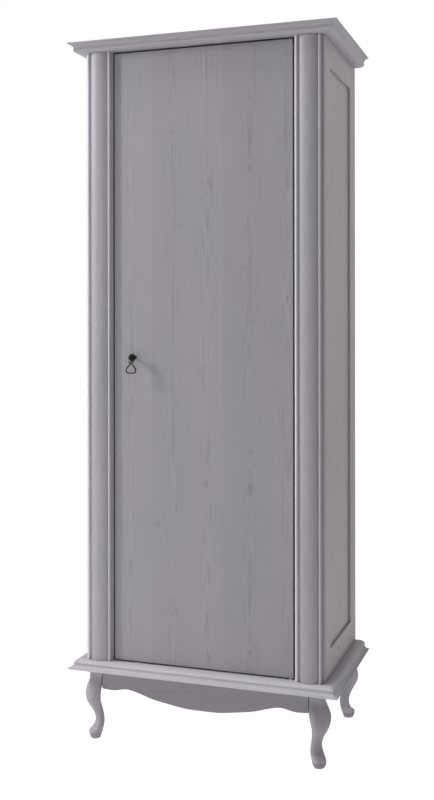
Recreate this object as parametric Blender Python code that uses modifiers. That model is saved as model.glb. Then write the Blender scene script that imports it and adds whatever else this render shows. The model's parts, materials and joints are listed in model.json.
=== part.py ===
"""A one-door wardrobe on cabriole legs, made of separate boards, mouldings and fittings.

Metres, X to the right, Y to the back and Z up. The origin is on the floor, under the middle of the wardrobe.
The door turns about "door axis" and the pull's pendant about "pendant axis".
"""

import math

import bmesh
import bpy
from mathutils import Matrix, Vector

# Whole wardrobe
HEIGHT = 2.000
CARCASS_WIDTH = 0.700
CARCASS_DEPTH = 0.415
FLOOR_HEIGHT = 0.2335  # top of the bottom panel
SEAT = 0.0003  # gap between two pieces that touch

# Boards
TOP_THICKNESS = 0.018
BOTTOM_THICKNESS = 0.018
FRAME_THICKNESS = 0.022
BACK_THICKNESS = 0.005
BACK_RECESS = 0.0007  # from the carcass's rear face to the back panel
RABBET_WIDTH = 0.011
EASING = 0.0008  # bevel along a board's edges

# Side frames
FRONT_STILE_WIDTH = 0.047
REAR_STILE_WIDTH = 0.072
TOP_RAIL_WIDTH = 0.075
BOTTOM_RAIL_WIDTH = 0.0725
SIDE_PANEL_THICKNESS = 0.008
SIDE_PANEL_RECESS = 0.007
GROOVE_DEPTH = 0.009
GROOVE_CLEARANCE = 0.001  # from the groove's floor to what sits in it

# Face stiles and pilasters
FACE_STILE_WIDTH = 0.083
PILASTER_INNER_INSET = 0.004  # from the door opening to the pilaster
PILASTER_OUTER_INSET = 0.007  # from the pilaster to the carcass's side
BEAD_WIDTH = 0.007
BEAD_STAND = 0.015
FLUTE_WIDTH = 0.003
FLUTE_STEP = 0.001  # from the shaft's edge down to the flute's floor
SHAFT_EDGE = 0.009
SHAFT_RISE = 0.009  # from the shaft's edge to its crown

# Cornice and base moulding
SOFFIT_WIDTH = 0.012
OVOLO_REACH = 0.0175
OVOLO_RISE = 0.0105
QUIRK = 0.0015
COVE_REACH = 0.0125
CORNICE_COVE_RISE = 0.014
BASE_COVE_RISE = 0.011
LIP = 0.0015
FILLET = 0.003

# Door
DOOR_THICKNESS = 0.020
DOOR_SIDE_GAP = 0.0045
DOOR_TOP_GAP = 0.003
DOOR_BOTTOM_GAP = 0.004
DOOR_EASING = 0.001

# Pivot hinges, which the closed door hides
PIVOT_INSET = 0.010  # from the door's edge to the pin
PIVOT_PIN_RADIUS = 0.0025
PIVOT_PIN_REACH = 0.006  # into the door
PIVOT_PLAY = 0.0001
PIVOT_COLLAR_RADIUS = 0.0045
PIVOT_PLATE_LENGTH = 0.052
PIVOT_PLATE_WIDTH = 0.014
PIVOT_PLATE_THICKNESS = 0.0025
PIVOT_PLATE_END = 0.0075  # from the pin to the plate's near end

# Pull
PULL_FROM_EDGE = 0.0635
PULL_HEIGHT = 1.100
KNOB_RADIUS = 0.011
KNOB_STAND = 0.026
KNOB_HEAD_DEPTH = 0.0095
KNOB_DISH = 0.0015
NECK_RADIUS = 0.0036
ROSE_RADIUS = 0.0050
ROSE_THICKNESS = 0.0020
CHEEK_THICKNESS = 0.0016
CHEEK_CLEARANCE = 0.0003  # on each side of the pendant's eye
CHEEK_HEIGHT = 0.008
CHEEK_OVERHANG = 0.0045  # from the pendant's pin to the cheeks' front
PENDANT_FROM_KNOB = 0.005
PENDANT_PIN_RADIUS = 0.001
PENDANT_PIN_HEAD = 0.0018
PENDANT_PIN_HEAD_DEPTH = 0.0008
PENDANT_EYE_RADIUS = 0.0034
PENDANT_EYE_THICKNESS = 0.0026
PENDANT_WIRE_RADIUS = 0.0018
PENDANT_STEM = 0.016  # from the pin to the top of the loop
LOOP_HALF_WIDTH = 0.0144
LOOP_HEIGHT = 0.0272
EAR_REACH = 0.0083
EAR_RISE = 0.0052
PULL_SCREW_RADIUS = 0.002
PULL_SCREW_REACH = 0.011  # into the knob
PULL_SCREW_HEAD = 0.004
PULL_SCREW_HEAD_DEPTH = 0.0025

# Magnetic catch
CATCH_FROM_EDGE = 0.050
CATCH_EAR = 0.008  # from the magnet to the housing's end
CATCH_WALL = 0.0015  # under the magnet
CATCH_BACK = 0.0035  # behind the magnet
MAGNET_LENGTH = 0.030
MAGNET_DEPTH = 0.010
MAGNET_HEIGHT = 0.0065
MAGNET_STAND = 0.0006
STRIKE_OVERLAP = 0.004  # past the magnet at each end
STRIKE_HEIGHT = 0.0075
STRIKE_THICKNESS = 0.0012
STRIKE_DROP = 0.0006  # below the door's eased top edge

# Legs and aprons
LEG_BLOCK = 0.040
LEG_FROM_SIDE = 0.0265
LEG_FROM_FRONT = 0.0205
LEG_SIDES = 24
LEG_STEPS = 2
OVAL_POWER = 2.3  # a leg's oval sections, from the foot to the knee
BLOCK_POWER = 8  # the squarer section of its block
GLIDE_RADIUS = 0.009
GLIDE_HEIGHT = 0.0025
APRON_THICKNESS = 0.018
APRON_SETBACK = 0.002  # behind the leg blocks' faces
REAR_APRON_DEPTH = 0.040
LEG_BOLT_RADIUS = 0.004
LEG_BOLT_REACH = 0.035  # into the leg
LEG_BOLT_HEAD = 0.0075
LEG_BOLT_HEAD_DEPTH = 0.004

# Hat shelf
HAT_SPACE = 0.316  # between the shelf and the top panel
SHELF_THICKNESS = 0.018
SHELF_FRONT_CLEARANCE = 0.010
SHELF_END_CLEARANCE = 0.0005  # to the collars of its pins
SHELF_PIN_RADIUS = 0.0025
SHELF_PIN_REACH = 0.009
SHELF_PIN_COLLAR = 0.004
SHELF_PIN_COLLAR_DEPTH = 0.0015
SHELF_PIN_STAND = 0.010
SHELF_PIN_SETBACK = 0.023  # from a side stile's inner edge

# Clothes rail, from front to back under the shelf
RAIL_INSET = 0.039  # from the shelf's edges to the rail's ends
RAIL_WIDTH = 0.015
RAIL_HEIGHT = 0.030
RAIL_WALL = 0.0012
RAIL_DROP = 0.045  # from the shelf to the rail's centre
BRACKET_DEPTH = 0.014
BRACKET_SOCKET = 0.011
BRACKET_WALL = 0.002
BRACKET_FOOT_WIDTH = 0.050
BRACKET_FOOT_THICKNESS = 0.0025
BRACKET_FOOT_ROOT = 0.004  # the foot's thickness at the neck
BRACKET_NECK_WIDTH = 0.014

# The leg from sole to block: share of its height, lean of its centre to the outside, half width along the
# corner's diagonal, half width across it, share of the block's section in it
LEG_SHAPE = (
    (0.000, 0.0093, 0.0138, 0.0143, 0.0),
    (0.043, 0.0101, 0.0162, 0.0192, 0.0),
    (0.093, 0.0080, 0.0198, 0.0192, 0.0),
    (0.142, 0.0007, 0.0135, 0.0201, 0.0),
    (0.203, -0.0038, 0.0121, 0.0180, 0.0),
    (0.279, -0.0041, 0.0121, 0.0152, 0.0),
    (0.382, 0.0034, 0.0148, 0.0162, 0.0),
    (0.486, 0.0140, 0.0188, 0.0227, 0.0),
    (0.580, 0.0170, 0.0200, 0.0301, 0.0),
    (0.674, 0.0156, 0.0189, 0.0341, 0.1),
    (0.768, 0.0125, 0.0206, 0.0312, 0.5),
    (0.863, 0.0000, LEG_BLOCK / 2, LEG_BLOCK / 2, 1.0),
    (1.000, 0.0000, LEG_BLOCK / 2, LEG_BLOCK / 2, 1.0),
)

# Lower edges from the middle out: share of half the apron's length, depth of the apron there
FRONT_APRON_EDGE = (
    (0.00, 0.0970),
    (0.16, 0.0963),
    (0.33, 0.0892),
    (0.49, 0.0810),
    (0.62, 0.0695),
    (0.745, 0.0617),
    (0.88, 0.0687),
    (1.00, 0.0670),
)
SIDE_APRON_EDGE = ((0.0, 0.0430), (0.5, 0.0400), (0.8, 0.0360), (1.0, 0.0400))

# Points

def arc(centre, radius_x, radius_y, start, end, steps):
    """Points on an ellipse's arc, from one angle to another in degrees."""
    points = []
    for step in range(steps + 1):
        angle = math.radians(start + (end - start) * step / steps)
        points.append((centre[0] + radius_x * math.cos(angle), centre[1] + radius_y * math.sin(angle)))
    return points


def smooth(points, steps, closed=False):
    """Points on a Catmull-Rom curve through the given ones."""
    points = [Vector(point) for point in points]
    count = len(points)
    curve = []
    for span in range(count if closed else count - 1):
        places = [span - 1, span, span + 1, span + 2]
        if closed:
            places = [place % count for place in places]
        else:
            places = [min(max(place, 0), count - 1) for place in places]
        before, start, end, after = (points[place] for place in places)
        for step in range(steps):
            t = step / steps
            bend = 2 * before - 5 * start + 4 * end - after
            twist = 3 * start - before - 3 * end + after
            curve.append((2 * start + (end - before) * t + bend * t * t + twist * t**3) / 2)
    if not closed:
        curve.append(points[-1])
    return curve


def mirrored(half):
    """An outline's right half, and the same points on the left, in one run from left to right."""
    return [(-across, up) for across, up in reversed(half) if across > WELD] + list(half)


def leg_ring(section):
    """One section of a leg as (x, y) points from its axis, x and y both towards the wardrobe's outside."""
    share, lean, along, across, block = section
    offset = (1 - block) * lean / math.sqrt(2)
    ring = []
    for corner in range(LEG_SIDES):
        angle = 2 * math.pi * corner / LEG_SIDES
        x, y = math.cos(angle), math.sin(angle)
        to_corner = abs(x + y) / (along * math.sqrt(2))
        sideways = abs(x - y) / (across * math.sqrt(2))
        oval = (to_corner**OVAL_POWER + sideways**OVAL_POWER) ** (-1 / OVAL_POWER)
        square = LEG_BLOCK / 2 * (abs(x) ** BLOCK_POWER + abs(y) ** BLOCK_POWER) ** (-1 / BLOCK_POWER)
        reach = (1 - block) * oval + block * square
        ring.append((offset + reach * x, offset + reach * y))
    return ring


# What follows from the sizes above
HALF_WIDTH = CARCASS_WIDTH / 2
MOULDING_REACH = SOFFIT_WIDTH + OVOLO_REACH - QUIRK + COVE_REACH + LIP
CORNICE_HEIGHT = OVOLO_RISE + QUIRK + CORNICE_COVE_RISE + FILLET
BASE_HEIGHT = OVOLO_RISE + QUIRK + BASE_COVE_RISE + FILLET
KNEE_REACH = max(x for section in smooth(LEG_SHAPE, LEG_STEPS) for x, y in leg_ring(section))
KNEE_OVERHANG = KNEE_REACH - LEG_FROM_FRONT
OVERALL_DEPTH = MOULDING_REACH + CARCASS_DEPTH + KNEE_OVERHANG
FRONT = MOULDING_REACH - OVERALL_DEPTH / 2
BACK = FRONT + CARCASS_DEPTH
SOFFIT = HEIGHT - CORNICE_HEIGHT
UNDERSIDE = FLOOR_HEIGHT - BOTTOM_THICKNESS
INNER_HALF = HALF_WIDTH - FRAME_THICKNESS
FRAME_FRONT = FRONT + FRAME_THICKNESS + SEAT
PANEL_FRONT = FRAME_FRONT + FRONT_STILE_WIDTH
PANEL_REAR = BACK - REAR_STILE_WIDTH
PANEL_TOP = SOFFIT - TOP_RAIL_WIDTH
PANEL_BOTTOM = FLOOR_HEIGHT + BOTTOM_RAIL_WIDTH
PANEL_OUTER = HALF_WIDTH - SIDE_PANEL_RECESS
PANEL_INNER = PANEL_OUTER - SIDE_PANEL_THICKNESS
TONGUE = GROOVE_DEPTH - GROOVE_CLEARANCE
RABBET_FRONT = BACK - BACK_RECESS - BACK_THICKNESS - SEAT
RABBET_BOTTOM = UNDERSIDE + BOTTOM_THICKNESS / 2
RABBET_TOP = SOFFIT + TOP_THICKNESS / 2
OPENING_HALF = HALF_WIDTH - FACE_STILE_WIDTH
DOOR_HALF = OPENING_HALF - DOOR_SIDE_GAP
DOOR_BOTTOM = FLOOR_HEIGHT + DOOR_BOTTOM_GAP
DOOR_TOP = SOFFIT - DOOR_TOP_GAP
DOOR_BACK = FRONT + DOOR_THICKNESS
PIVOT = Vector((DOOR_HALF - PIVOT_INSET, FRONT + DOOR_THICKNESS / 2, 0.0))
PULL = Vector((PULL_FROM_EDGE - DOOR_HALF, FRONT, PULL_HEIGHT))
PENDANT = PULL - Vector((0.0, KNOB_STAND + PENDANT_FROM_KNOB, 0.0))
CHEEK_GAP = PENDANT_EYE_THICKNESS + 2 * CHEEK_CLEARANCE
LEG_X = HALF_WIDTH - LEG_FROM_SIDE
LEG_FRONT_Y = FRONT + LEG_FROM_FRONT
LEG_REAR_Y = BACK - LEG_FROM_FRONT
LEG_SOLE = GLIDE_HEIGHT + SEAT
LEG_TOP = UNDERSIDE - SEAT
SHELF_TOP = SOFFIT - HAT_SPACE
SHELF_UNDERSIDE = SHELF_TOP - SHELF_THICKNESS
SHELF_FRONT = DOOR_BACK + SHELF_FRONT_CLEARANCE
SHELF_REAR = RABBET_FRONT - SEAT
RAIL_Z = SHELF_UNDERSIDE - RAIL_DROP
WELD = 0.00001
CUTTER_OVERRUN = 0.010

# An outline's plane, as the turn that lays a flat curve in it
PLANES = {
    "XY": Matrix.Identity(4),
    "XZ": Matrix.Rotation(math.radians(90), 4, "X"),
    "YZ": Matrix(((0, 0, 1, 0), (1, 0, 0, 0), (0, 1, 0, 0), (0, 0, 0, 1))),
}


# Objects

def clear_scene():
    for piece in list(bpy.data.objects):
        bpy.data.objects.remove(piece, do_unlink=True)


def new_collection(name):
    collection = bpy.data.collections.new(name)
    bpy.context.scene.collection.children.link(collection)
    return collection


def new_finish(name, colour, roughness, metallic=0.0):
    material = bpy.data.materials.new(name)
    material.use_nodes = True
    shader = material.node_tree.nodes["Principled BSDF"]
    shader.inputs["Base Color"].default_value = (*colour, 1.0)
    shader.inputs["Roughness"].default_value = roughness
    shader.inputs["Metallic"].default_value = metallic
    return material


def place(piece, finish):
    """Puts a new object in the wardrobe's collection and gives it its finish."""
    for collection in list(piece.users_collection):
        collection.objects.unlink(piece)
    WARDROBE.objects.link(piece)
    piece.data.materials.clear()
    piece.data.materials.append(finish)
    return piece


def as_cutter(piece):
    """Makes an object a helper that only cuts or joins others."""
    for collection in list(piece.users_collection):
        collection.objects.unlink(piece)
    CUTTERS.objects.link(piece)
    piece.hide_render = True
    piece.display_type = "WIRE"
    return piece


def ease(piece, width):
    bevel = piece.modifiers.new("Eased edges", "BEVEL")
    bevel.width = width
    bevel.segments = 1
    bevel.limit_method = "ANGLE"


def board(name, low, high, finish, easing=0.0):
    """A rectangular board between two corners."""
    low, high = Vector(low), Vector(high)
    bpy.ops.mesh.primitive_cube_add(size=1.0, location=(low + high) / 2)
    piece = bpy.context.active_object
    piece.name = name
    piece.scale = high - low
    bpy.ops.object.transform_apply(location=False, rotation=False, scale=True)
    if easing:
        ease(piece, easing)
    return place(piece, finish)


def rod(name, start, end, radius, finish, sides=24):
    """A straight round bar between two points."""
    start, end = Vector(start), Vector(end)
    along = end - start
    bpy.ops.mesh.primitive_cylinder_add(
        vertices=sides, radius=radius, depth=along.length, location=(start + end) / 2
    )
    piece = bpy.context.active_object
    piece.name = name
    piece.rotation_euler = along.to_track_quat("Z", "Y").to_euler()
    return place(piece, finish)


def turned(name, profile, origin, axis, finish, steps=24):
    """A profile of (radius, height) points, from its top down, turned about an axis through origin."""
    mesh = bpy.data.meshes.new(name)
    points = [(radius, 0.0, height) for radius, height in profile]
    mesh.from_pydata(points, [(i, i + 1) for i in range(len(points) - 1)], [])
    piece = bpy.data.objects.new(name, mesh)
    piece.location = origin
    piece.rotation_euler = Vector(axis).to_track_quat("Z", "Y").to_euler()
    screw = piece.modifiers.new("Turn", "SCREW")
    screw.steps = steps
    screw.render_steps = steps
    screw.use_merge_vertices = True
    screw.merge_threshold = WELD
    screw.use_smooth_shade = True
    return place(piece, finish)


def extruded(name, outlines, plane, start, end, finish):
    """Flat outlines in a plane, an inner one being a hole, extruded along the plane's normal."""
    curve = bpy.data.curves.new(name, "CURVE")
    curve.dimensions = "2D"
    curve.fill_mode = "BOTH"
    curve.extrude = (end - start) / 2
    for outline in outlines:
        spline = curve.splines.new("POLY")
        spline.points.add(len(outline) - 1)
        for point, (across, up) in zip(spline.points, outline):
            point.co = (across, up, 0.0, 1.0)
        spline.use_cyclic_u = True
    piece = bpy.data.objects.new(name, curve)
    turn = PLANES[plane]
    normal = Vector([abs(part) for part in turn.col[2].xyz])
    piece.matrix_world = Matrix.Translation(normal * (start + end) / 2) @ turn
    return place(piece, finish)


def wire(name, points, radius, finish, closed=False):
    """A round wire along the points."""
    curve = bpy.data.curves.new(name, "CURVE")
    curve.dimensions = "3D"
    curve.bevel_depth = radius
    curve.bevel_resolution = 2
    curve.use_fill_caps = True
    spline = curve.splines.new("POLY")
    spline.points.add(len(points) - 1)
    for point, position in zip(spline.points, points):
        point.co = (*position, 1.0)
    spline.use_cyclic_u = closed
    return place(bpy.data.objects.new(name, curve), finish)


def as_mesh(piece):
    """The same piece as a mesh with its caps welded, which a Boolean takes."""
    bpy.context.view_layer.update()
    evaluated = piece.evaluated_get(bpy.context.evaluated_depsgraph_get())
    mesh = bpy.data.meshes.new_from_object(evaluated)
    welded = bmesh.new()
    welded.from_mesh(mesh)
    bmesh.ops.remove_doubles(welded, verts=welded.verts, dist=WELD)
    welded.to_mesh(mesh)
    welded.free()
    name = piece.name
    finish = piece.data.materials[0]
    solid = bpy.data.objects.new(name, mesh)
    solid.matrix_world = piece.matrix_world
    bpy.data.objects.remove(piece, do_unlink=True)
    solid.name = name
    return place(solid, finish)


def boolean(piece, other, operation):
    modifier = piece.modifiers.new(other.name, "BOOLEAN")
    modifier.operation = operation
    modifier.solver = "EXACT"
    modifier.object = other


def cut(piece, *cutters):
    for cutter in cutters:
        boolean(piece, as_cutter(cutter), "DIFFERENCE")
    return piece


def join(piece, *others):
    for other in others:
        boolean(piece, as_cutter(other), "UNION")
    return piece


def carried_by(axis, *pieces):
    """Parents pieces to the empty on a joint's axis, where they are."""
    for piece in pieces:
        piece.parent = axis
        piece.matrix_parent_inverse = axis.matrix_world.inverted()


def joint_axis(name, position):
    axis = bpy.data.objects.new(name, None)
    axis.empty_display_size = 0.05
    axis.location = position
    WARDROBE.objects.link(axis)
    bpy.context.view_layer.update()
    return axis


# Mouldings

def moulding_outline(cove_rise):
    """The cornice's section as (outward, up) points, from the carcass along the soffit and up to the top."""
    cove_start = SOFFIT_WIDTH + OVOLO_REACH - QUIRK
    cove_bottom = OVOLO_RISE + QUIRK
    cove_top = cove_bottom + cove_rise
    outline = [(SEAT, 0.0)]
    outline += arc((SOFFIT_WIDTH, OVOLO_RISE), OVOLO_REACH, OVOLO_RISE, -90, 0, 6)
    outline += [(cove_start, OVOLO_RISE)]
    outline += arc((cove_start + COVE_REACH, cove_bottom), COVE_REACH, cove_rise, 180, 90, 6)
    outline += [(MOULDING_REACH, cove_top), (MOULDING_REACH, cove_top + FILLET), (SEAT, cove_top + FILLET)]
    return outline


def moulding(name, outline, start, end, outward, mitres):
    """A length of moulding from start to end along the carcass, each end mitred where mitres says so."""
    start, end, outward = Vector(start), Vector(end), Vector(outward)
    along = (end - start).normalized()
    up = Vector((0.0, 0.0, 1.0))
    trim = SEAT / math.sqrt(2)
    length = bmesh.new()
    ring = [length.verts.new(start + outward * out + up * rise) for out, rise in outline]
    section = length.faces.new(ring)
    made = bmesh.ops.extrude_face_region(length, geom=[section])
    far_end = [part for part in made["geom"] if isinstance(part, bmesh.types.BMVert)]
    for vertex in far_end:
        vertex.co += end - start
    for ends, mitred, way in ((ring, mitres[0], -1), (far_end, mitres[1], 1)):
        for vertex in ends:
            if mitred:
                vertex.co += along * way * ((vertex.co - start).dot(outward) - trim)
    bmesh.ops.recalc_face_normals(length, faces=length.faces)
    mesh = bpy.data.meshes.new(name)
    length.to_mesh(mesh)
    length.free()
    return place(bpy.data.objects.new(name, mesh), PAINTED_PINE)


def build_mouldings():
    cornice = moulding_outline(CORNICE_COVE_RISE)
    base = [(out, BASE_HEIGHT - rise) for out, rise in moulding_outline(BASE_COVE_RISE)]
    runs = (("cornice", cornice, SOFFIT), ("base_moulding", base, FLOOR_HEIGHT - BASE_HEIGHT))
    for kind, outline, height in runs:
        left_front = (-HALF_WIDTH, FRONT, height)
        right_front = (HALF_WIDTH, FRONT, height)
        left_rear = (-HALF_WIDTH, BACK, height)
        right_rear = (HALF_WIDTH, BACK, height)
        moulding(f"{kind}_front", outline, left_front, right_front, (0, -1, 0), (True, True))
        moulding(f"{kind}_left", outline, left_rear, left_front, (-1, 0, 0), (False, True))
        moulding(f"{kind}_right", outline, right_front, right_rear, (1, 0, 0), (True, False))


# Carcass

def build_top_and_back(rabbet):
    top = board(
        "top_panel",
        (-HALF_WIDTH, FRONT, SOFFIT),
        (HALF_WIDTH, BACK, SOFFIT + TOP_THICKNESS),
        PAINTED_PINE,
    )
    cut(top, rabbet, pivot_mortise("pivot mortise in top", SOFFIT, 1))
    reach = INNER_HALF + RABBET_WIDTH - SEAT
    board(
        "back_panel",
        (-reach, RABBET_FRONT + SEAT, RABBET_BOTTOM + SEAT),
        (reach, RABBET_FRONT + SEAT + BACK_THICKNESS, RABBET_TOP - SEAT),
        HARDBOARD,
    )


def build_bottom(rabbet):
    bottom = board(
        "bottom_panel",
        (-HALF_WIDTH, FRONT, UNDERSIDE),
        (HALF_WIDTH, BACK, FLOOR_HEIGHT),
        PAINTED_PINE,
    )
    cut(bottom, rabbet, pivot_mortise("pivot mortise in bottom", FLOOR_HEIGHT, -1))
    head_floor = FLOOR_HEIGHT - LEG_BOLT_HEAD_DEPTH - 2 * SEAT
    for label, x, y in leg_places():
        hole = rod(
            f"{label} bolt hole",
            (x, y, UNDERSIDE - CUTTER_OVERRUN),
            (x, y, FLOOR_HEIGHT + CUTTER_OVERRUN),
            LEG_BOLT_RADIUS + SEAT,
            PAINTED_PINE,
        )
        counterbore = rod(
            f"{label} bolt counterbore",
            (x, y, head_floor),
            (x, y, FLOOR_HEIGHT + CUTTER_OVERRUN),
            LEG_BOLT_HEAD + SEAT,
            PAINTED_PINE,
        )
        cut(bottom, hole, counterbore)


def build_side(label, side, rabbet):
    """A side: two stiles with a groove, two rails tenoned into it, and the panel that it holds."""
    low, high = FLOOR_HEIGHT + SEAT, SOFFIT - SEAT
    frame_left, frame_right = sorted((side * INNER_HALF, side * HALF_WIDTH))
    panel_left, panel_right = sorted((side * PANEL_INNER, side * PANEL_OUTER))

    def groove(name, bottom, top):
        return board(
            f"{name} {label}",
            (panel_left - SEAT, PANEL_FRONT - GROOVE_DEPTH, bottom),
            (panel_right + SEAT, PANEL_REAR + GROOVE_DEPTH, top),
            PAINTED_PINE,
        )

    stile_groove = groove("groove in stiles", low - CUTTER_OVERRUN, high + CUTTER_OVERRUN)
    rail_groove = groove("groove in rails", PANEL_BOTTOM - GROOVE_DEPTH, PANEL_TOP + GROOVE_DEPTH)
    outwards = Vector((side, 0.0, 0.0))
    stiles = (
        ("front", FRAME_FRONT, PANEL_FRONT, PANEL_FRONT - SHELF_PIN_SETBACK),
        ("rear", PANEL_REAR, BACK, PANEL_REAR + SHELF_PIN_SETBACK),
    )
    for end, near, far, pin_y in stiles:
        stile = board(
            f"side_{end}_stile_{label}", (frame_left, near, low), (frame_right, far, high), PAINTED_PINE
        )
        face = Vector((side * INNER_HALF, pin_y, SHELF_UNDERSIDE - SEAT - SHELF_PIN_RADIUS))
        bore = rod(
            f"shelf pin bore {end} {label}",
            face - outwards * CUTTER_OVERRUN,
            face + outwards * (SHELF_PIN_REACH + SEAT),
            SHELF_PIN_RADIUS + SEAT,
            PAINTED_PINE,
            sides=16,
        )
        cut(stile, stile_groove, bore)
        if end == "rear":
            cut(stile, rabbet)
        shelf_pin(f"shelf_pin_{end}_{label}", face, outwards)

    for part, bottom, top in (("top", PANEL_TOP, high), ("bottom", low, PANEL_BOTTOM)):
        rail = board(
            f"side_{part}_rail_{label}",
            (frame_left, PANEL_FRONT + SEAT, bottom),
            (frame_right, PANEL_REAR - SEAT, top),
            PAINTED_PINE,
        )
        tenons = board(
            f"{part} tenons {label}",
            (panel_left, PANEL_FRONT - TONGUE, bottom + TONGUE),
            (panel_right, PANEL_REAR + TONGUE, top - TONGUE),
            PAINTED_PINE,
        )
        join(rail, tenons)
        cut(rail, rail_groove)

    board(
        f"side_panel_{label}",
        (panel_left, PANEL_FRONT - TONGUE, PANEL_BOTTOM - TONGUE),
        (panel_right, PANEL_REAR + TONGUE, PANEL_TOP + TONGUE),
        PAINTED_PINE,
    )


def shelf_pin(name, face, outwards):
    """A pin with a collar against the stile's face, seen from its free end."""
    profile = [
        (0.0, SHELF_PIN_STAND),
        (SHELF_PIN_RADIUS, SHELF_PIN_STAND),
        (SHELF_PIN_RADIUS, SHELF_PIN_COLLAR_DEPTH),
        (SHELF_PIN_COLLAR, SHELF_PIN_COLLAR_DEPTH),
        (SHELF_PIN_COLLAR, SEAT),
        (SHELF_PIN_RADIUS, SEAT),
        (SHELF_PIN_RADIUS, -SHELF_PIN_REACH),
        (0.0, -SHELF_PIN_REACH),
    ]
    return turned(name, profile, face, -outwards, NICKEL, steps=16)


def pilaster_outline(middle, half_width):
    """A pilaster's section as (x, y) points: bead, flute, rounded shaft, flute and bead."""
    bead_radius = BEAD_WIDTH / 2
    bead_middle = half_width - bead_radius
    flute_outer = half_width - BEAD_WIDTH
    flute_floor = SHAFT_EDGE - FLUTE_STEP
    shaft_half = flute_outer - FLUTE_WIDTH
    radius = (shaft_half**2 + SHAFT_RISE**2) / (2 * SHAFT_RISE)
    half_angle = math.degrees(math.asin(shaft_half / radius))
    half = arc((0.0, SHAFT_EDGE + SHAFT_RISE - radius), radius, radius, 90, 90 - half_angle, 8)
    half += [(shaft_half, flute_floor), (flute_outer, flute_floor)]
    half += arc((bead_middle, BEAD_STAND - bead_radius), bead_radius, bead_radius, 180, 0, 8)
    half += [(half_width, SEAT)]
    return [(middle + across, FRONT - stand) for across, stand in mirrored(half)]


def build_face(label, side):
    low, high = FLOOR_HEIGHT + SEAT, SOFFIT - SEAT
    inner, outer = sorted((side * OPENING_HALF, side * HALF_WIDTH))
    board(
        f"face_stile_{label}",
        (inner, FRONT, low),
        (outer, FRONT + FRAME_THICKNESS, high),
        PAINTED_PINE,
        EASING,
    )
    near = OPENING_HALF + PILASTER_INNER_INSET
    far = HALF_WIDTH - PILASTER_OUTER_INSET
    outline = pilaster_outline(side * (near + far) / 2, (far - near) / 2)
    extruded(f"pilaster_{label}", [outline], "XY", low, high, PAINTED_PINE)


# Base frame

def leg_places():
    """The four legs, as (label, x, y)."""
    return (
        ("front_left", -LEG_X, LEG_FRONT_Y),
        ("front_right", LEG_X, LEG_FRONT_Y),
        ("rear_left", -LEG_X, LEG_REAR_Y),
        ("rear_right", LEG_X, LEG_REAR_Y),
    )


def leg(name, x, y):
    """A cabriole leg, lofted through its sections and leaning to its own corner of the wardrobe."""
    side = math.copysign(1.0, x)
    end = -1.0 if y < (FRONT + BACK) / 2 else 1.0
    loft = bmesh.new()
    rings = []
    for section in smooth(LEG_SHAPE, LEG_STEPS):
        height = LEG_SOLE + section[0] * (LEG_TOP - LEG_SOLE)
        ring = [loft.verts.new((side * out, end * back, height)) for out, back in leg_ring(section)]
        if side * end < 0:
            ring.reverse()
        rings.append(ring)
    for lower, upper in zip(rings, rings[1:]):
        for corner in range(LEG_SIDES):
            after = (corner + 1) % LEG_SIDES
            loft.faces.new((lower[corner], lower[after], upper[after], upper[corner]))
    loft.faces.new(reversed(rings[0]))
    loft.faces.new(rings[-1])
    mesh = bpy.data.meshes.new(name)
    loft.to_mesh(mesh)
    loft.free()
    mesh.shade_smooth()
    mesh.set_sharp_from_angle(angle=math.radians(40))
    piece = bpy.data.objects.new(name, mesh)
    piece.location = (x, y, 0.0)
    return place(piece, PAINTED_PINE)


def build_legs():
    bolt_seat = FLOOR_HEIGHT - LEG_BOLT_HEAD_DEPTH - SEAT
    for label, x, y in leg_places():
        pilot = rod(
            f"{label} leg pilot hole",
            (x, y, UNDERSIDE - LEG_BOLT_REACH - SEAT),
            (x, y, LEG_TOP + CUTTER_OVERRUN),
            LEG_BOLT_RADIUS + SEAT,
            PAINTED_PINE,
        )
        cut(leg(f"leg_{label}", x, y), pilot)
        bolt = [
            (0.0, LEG_BOLT_HEAD_DEPTH),
            (LEG_BOLT_HEAD, LEG_BOLT_HEAD_DEPTH),
            (LEG_BOLT_HEAD, 0.0),
            (LEG_BOLT_RADIUS, 0.0),
            (LEG_BOLT_RADIUS, UNDERSIDE - LEG_BOLT_REACH - bolt_seat),
            (0.0, UNDERSIDE - LEG_BOLT_REACH - bolt_seat),
        ]
        turned(f"leg_bolt_{label}", bolt, (x, y, bolt_seat), (0, 0, 1), STEEL)
        side = math.copysign(1.0, x)
        end = -1.0 if y < (FRONT + BACK) / 2 else 1.0
        offset = LEG_SHAPE[0][1] / math.sqrt(2)
        glide = [
            (0.0, GLIDE_HEIGHT),
            (GLIDE_RADIUS, GLIDE_HEIGHT),
            (GLIDE_RADIUS, GLIDE_HEIGHT / 2),
            (GLIDE_RADIUS - GLIDE_HEIGHT / 2, 0.0),
            (0.0, 0.0),
        ]
        turned(f"foot_glide_{label}", glide, (x + side * offset, y + end * offset, 0.0), (0, 0, 1), PLASTIC)


def apron_outline(middle, half_length, edge):
    """An apron's face: straight along its top, shaped along its lower edge."""
    lower = [(share * half_length, LEG_TOP - depth) for share, depth in smooth(edge, 4)]
    outline = mirrored(lower) + [(half_length, LEG_TOP), (-half_length, LEG_TOP)]
    return [(middle + across, up) for across, up in outline]


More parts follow.
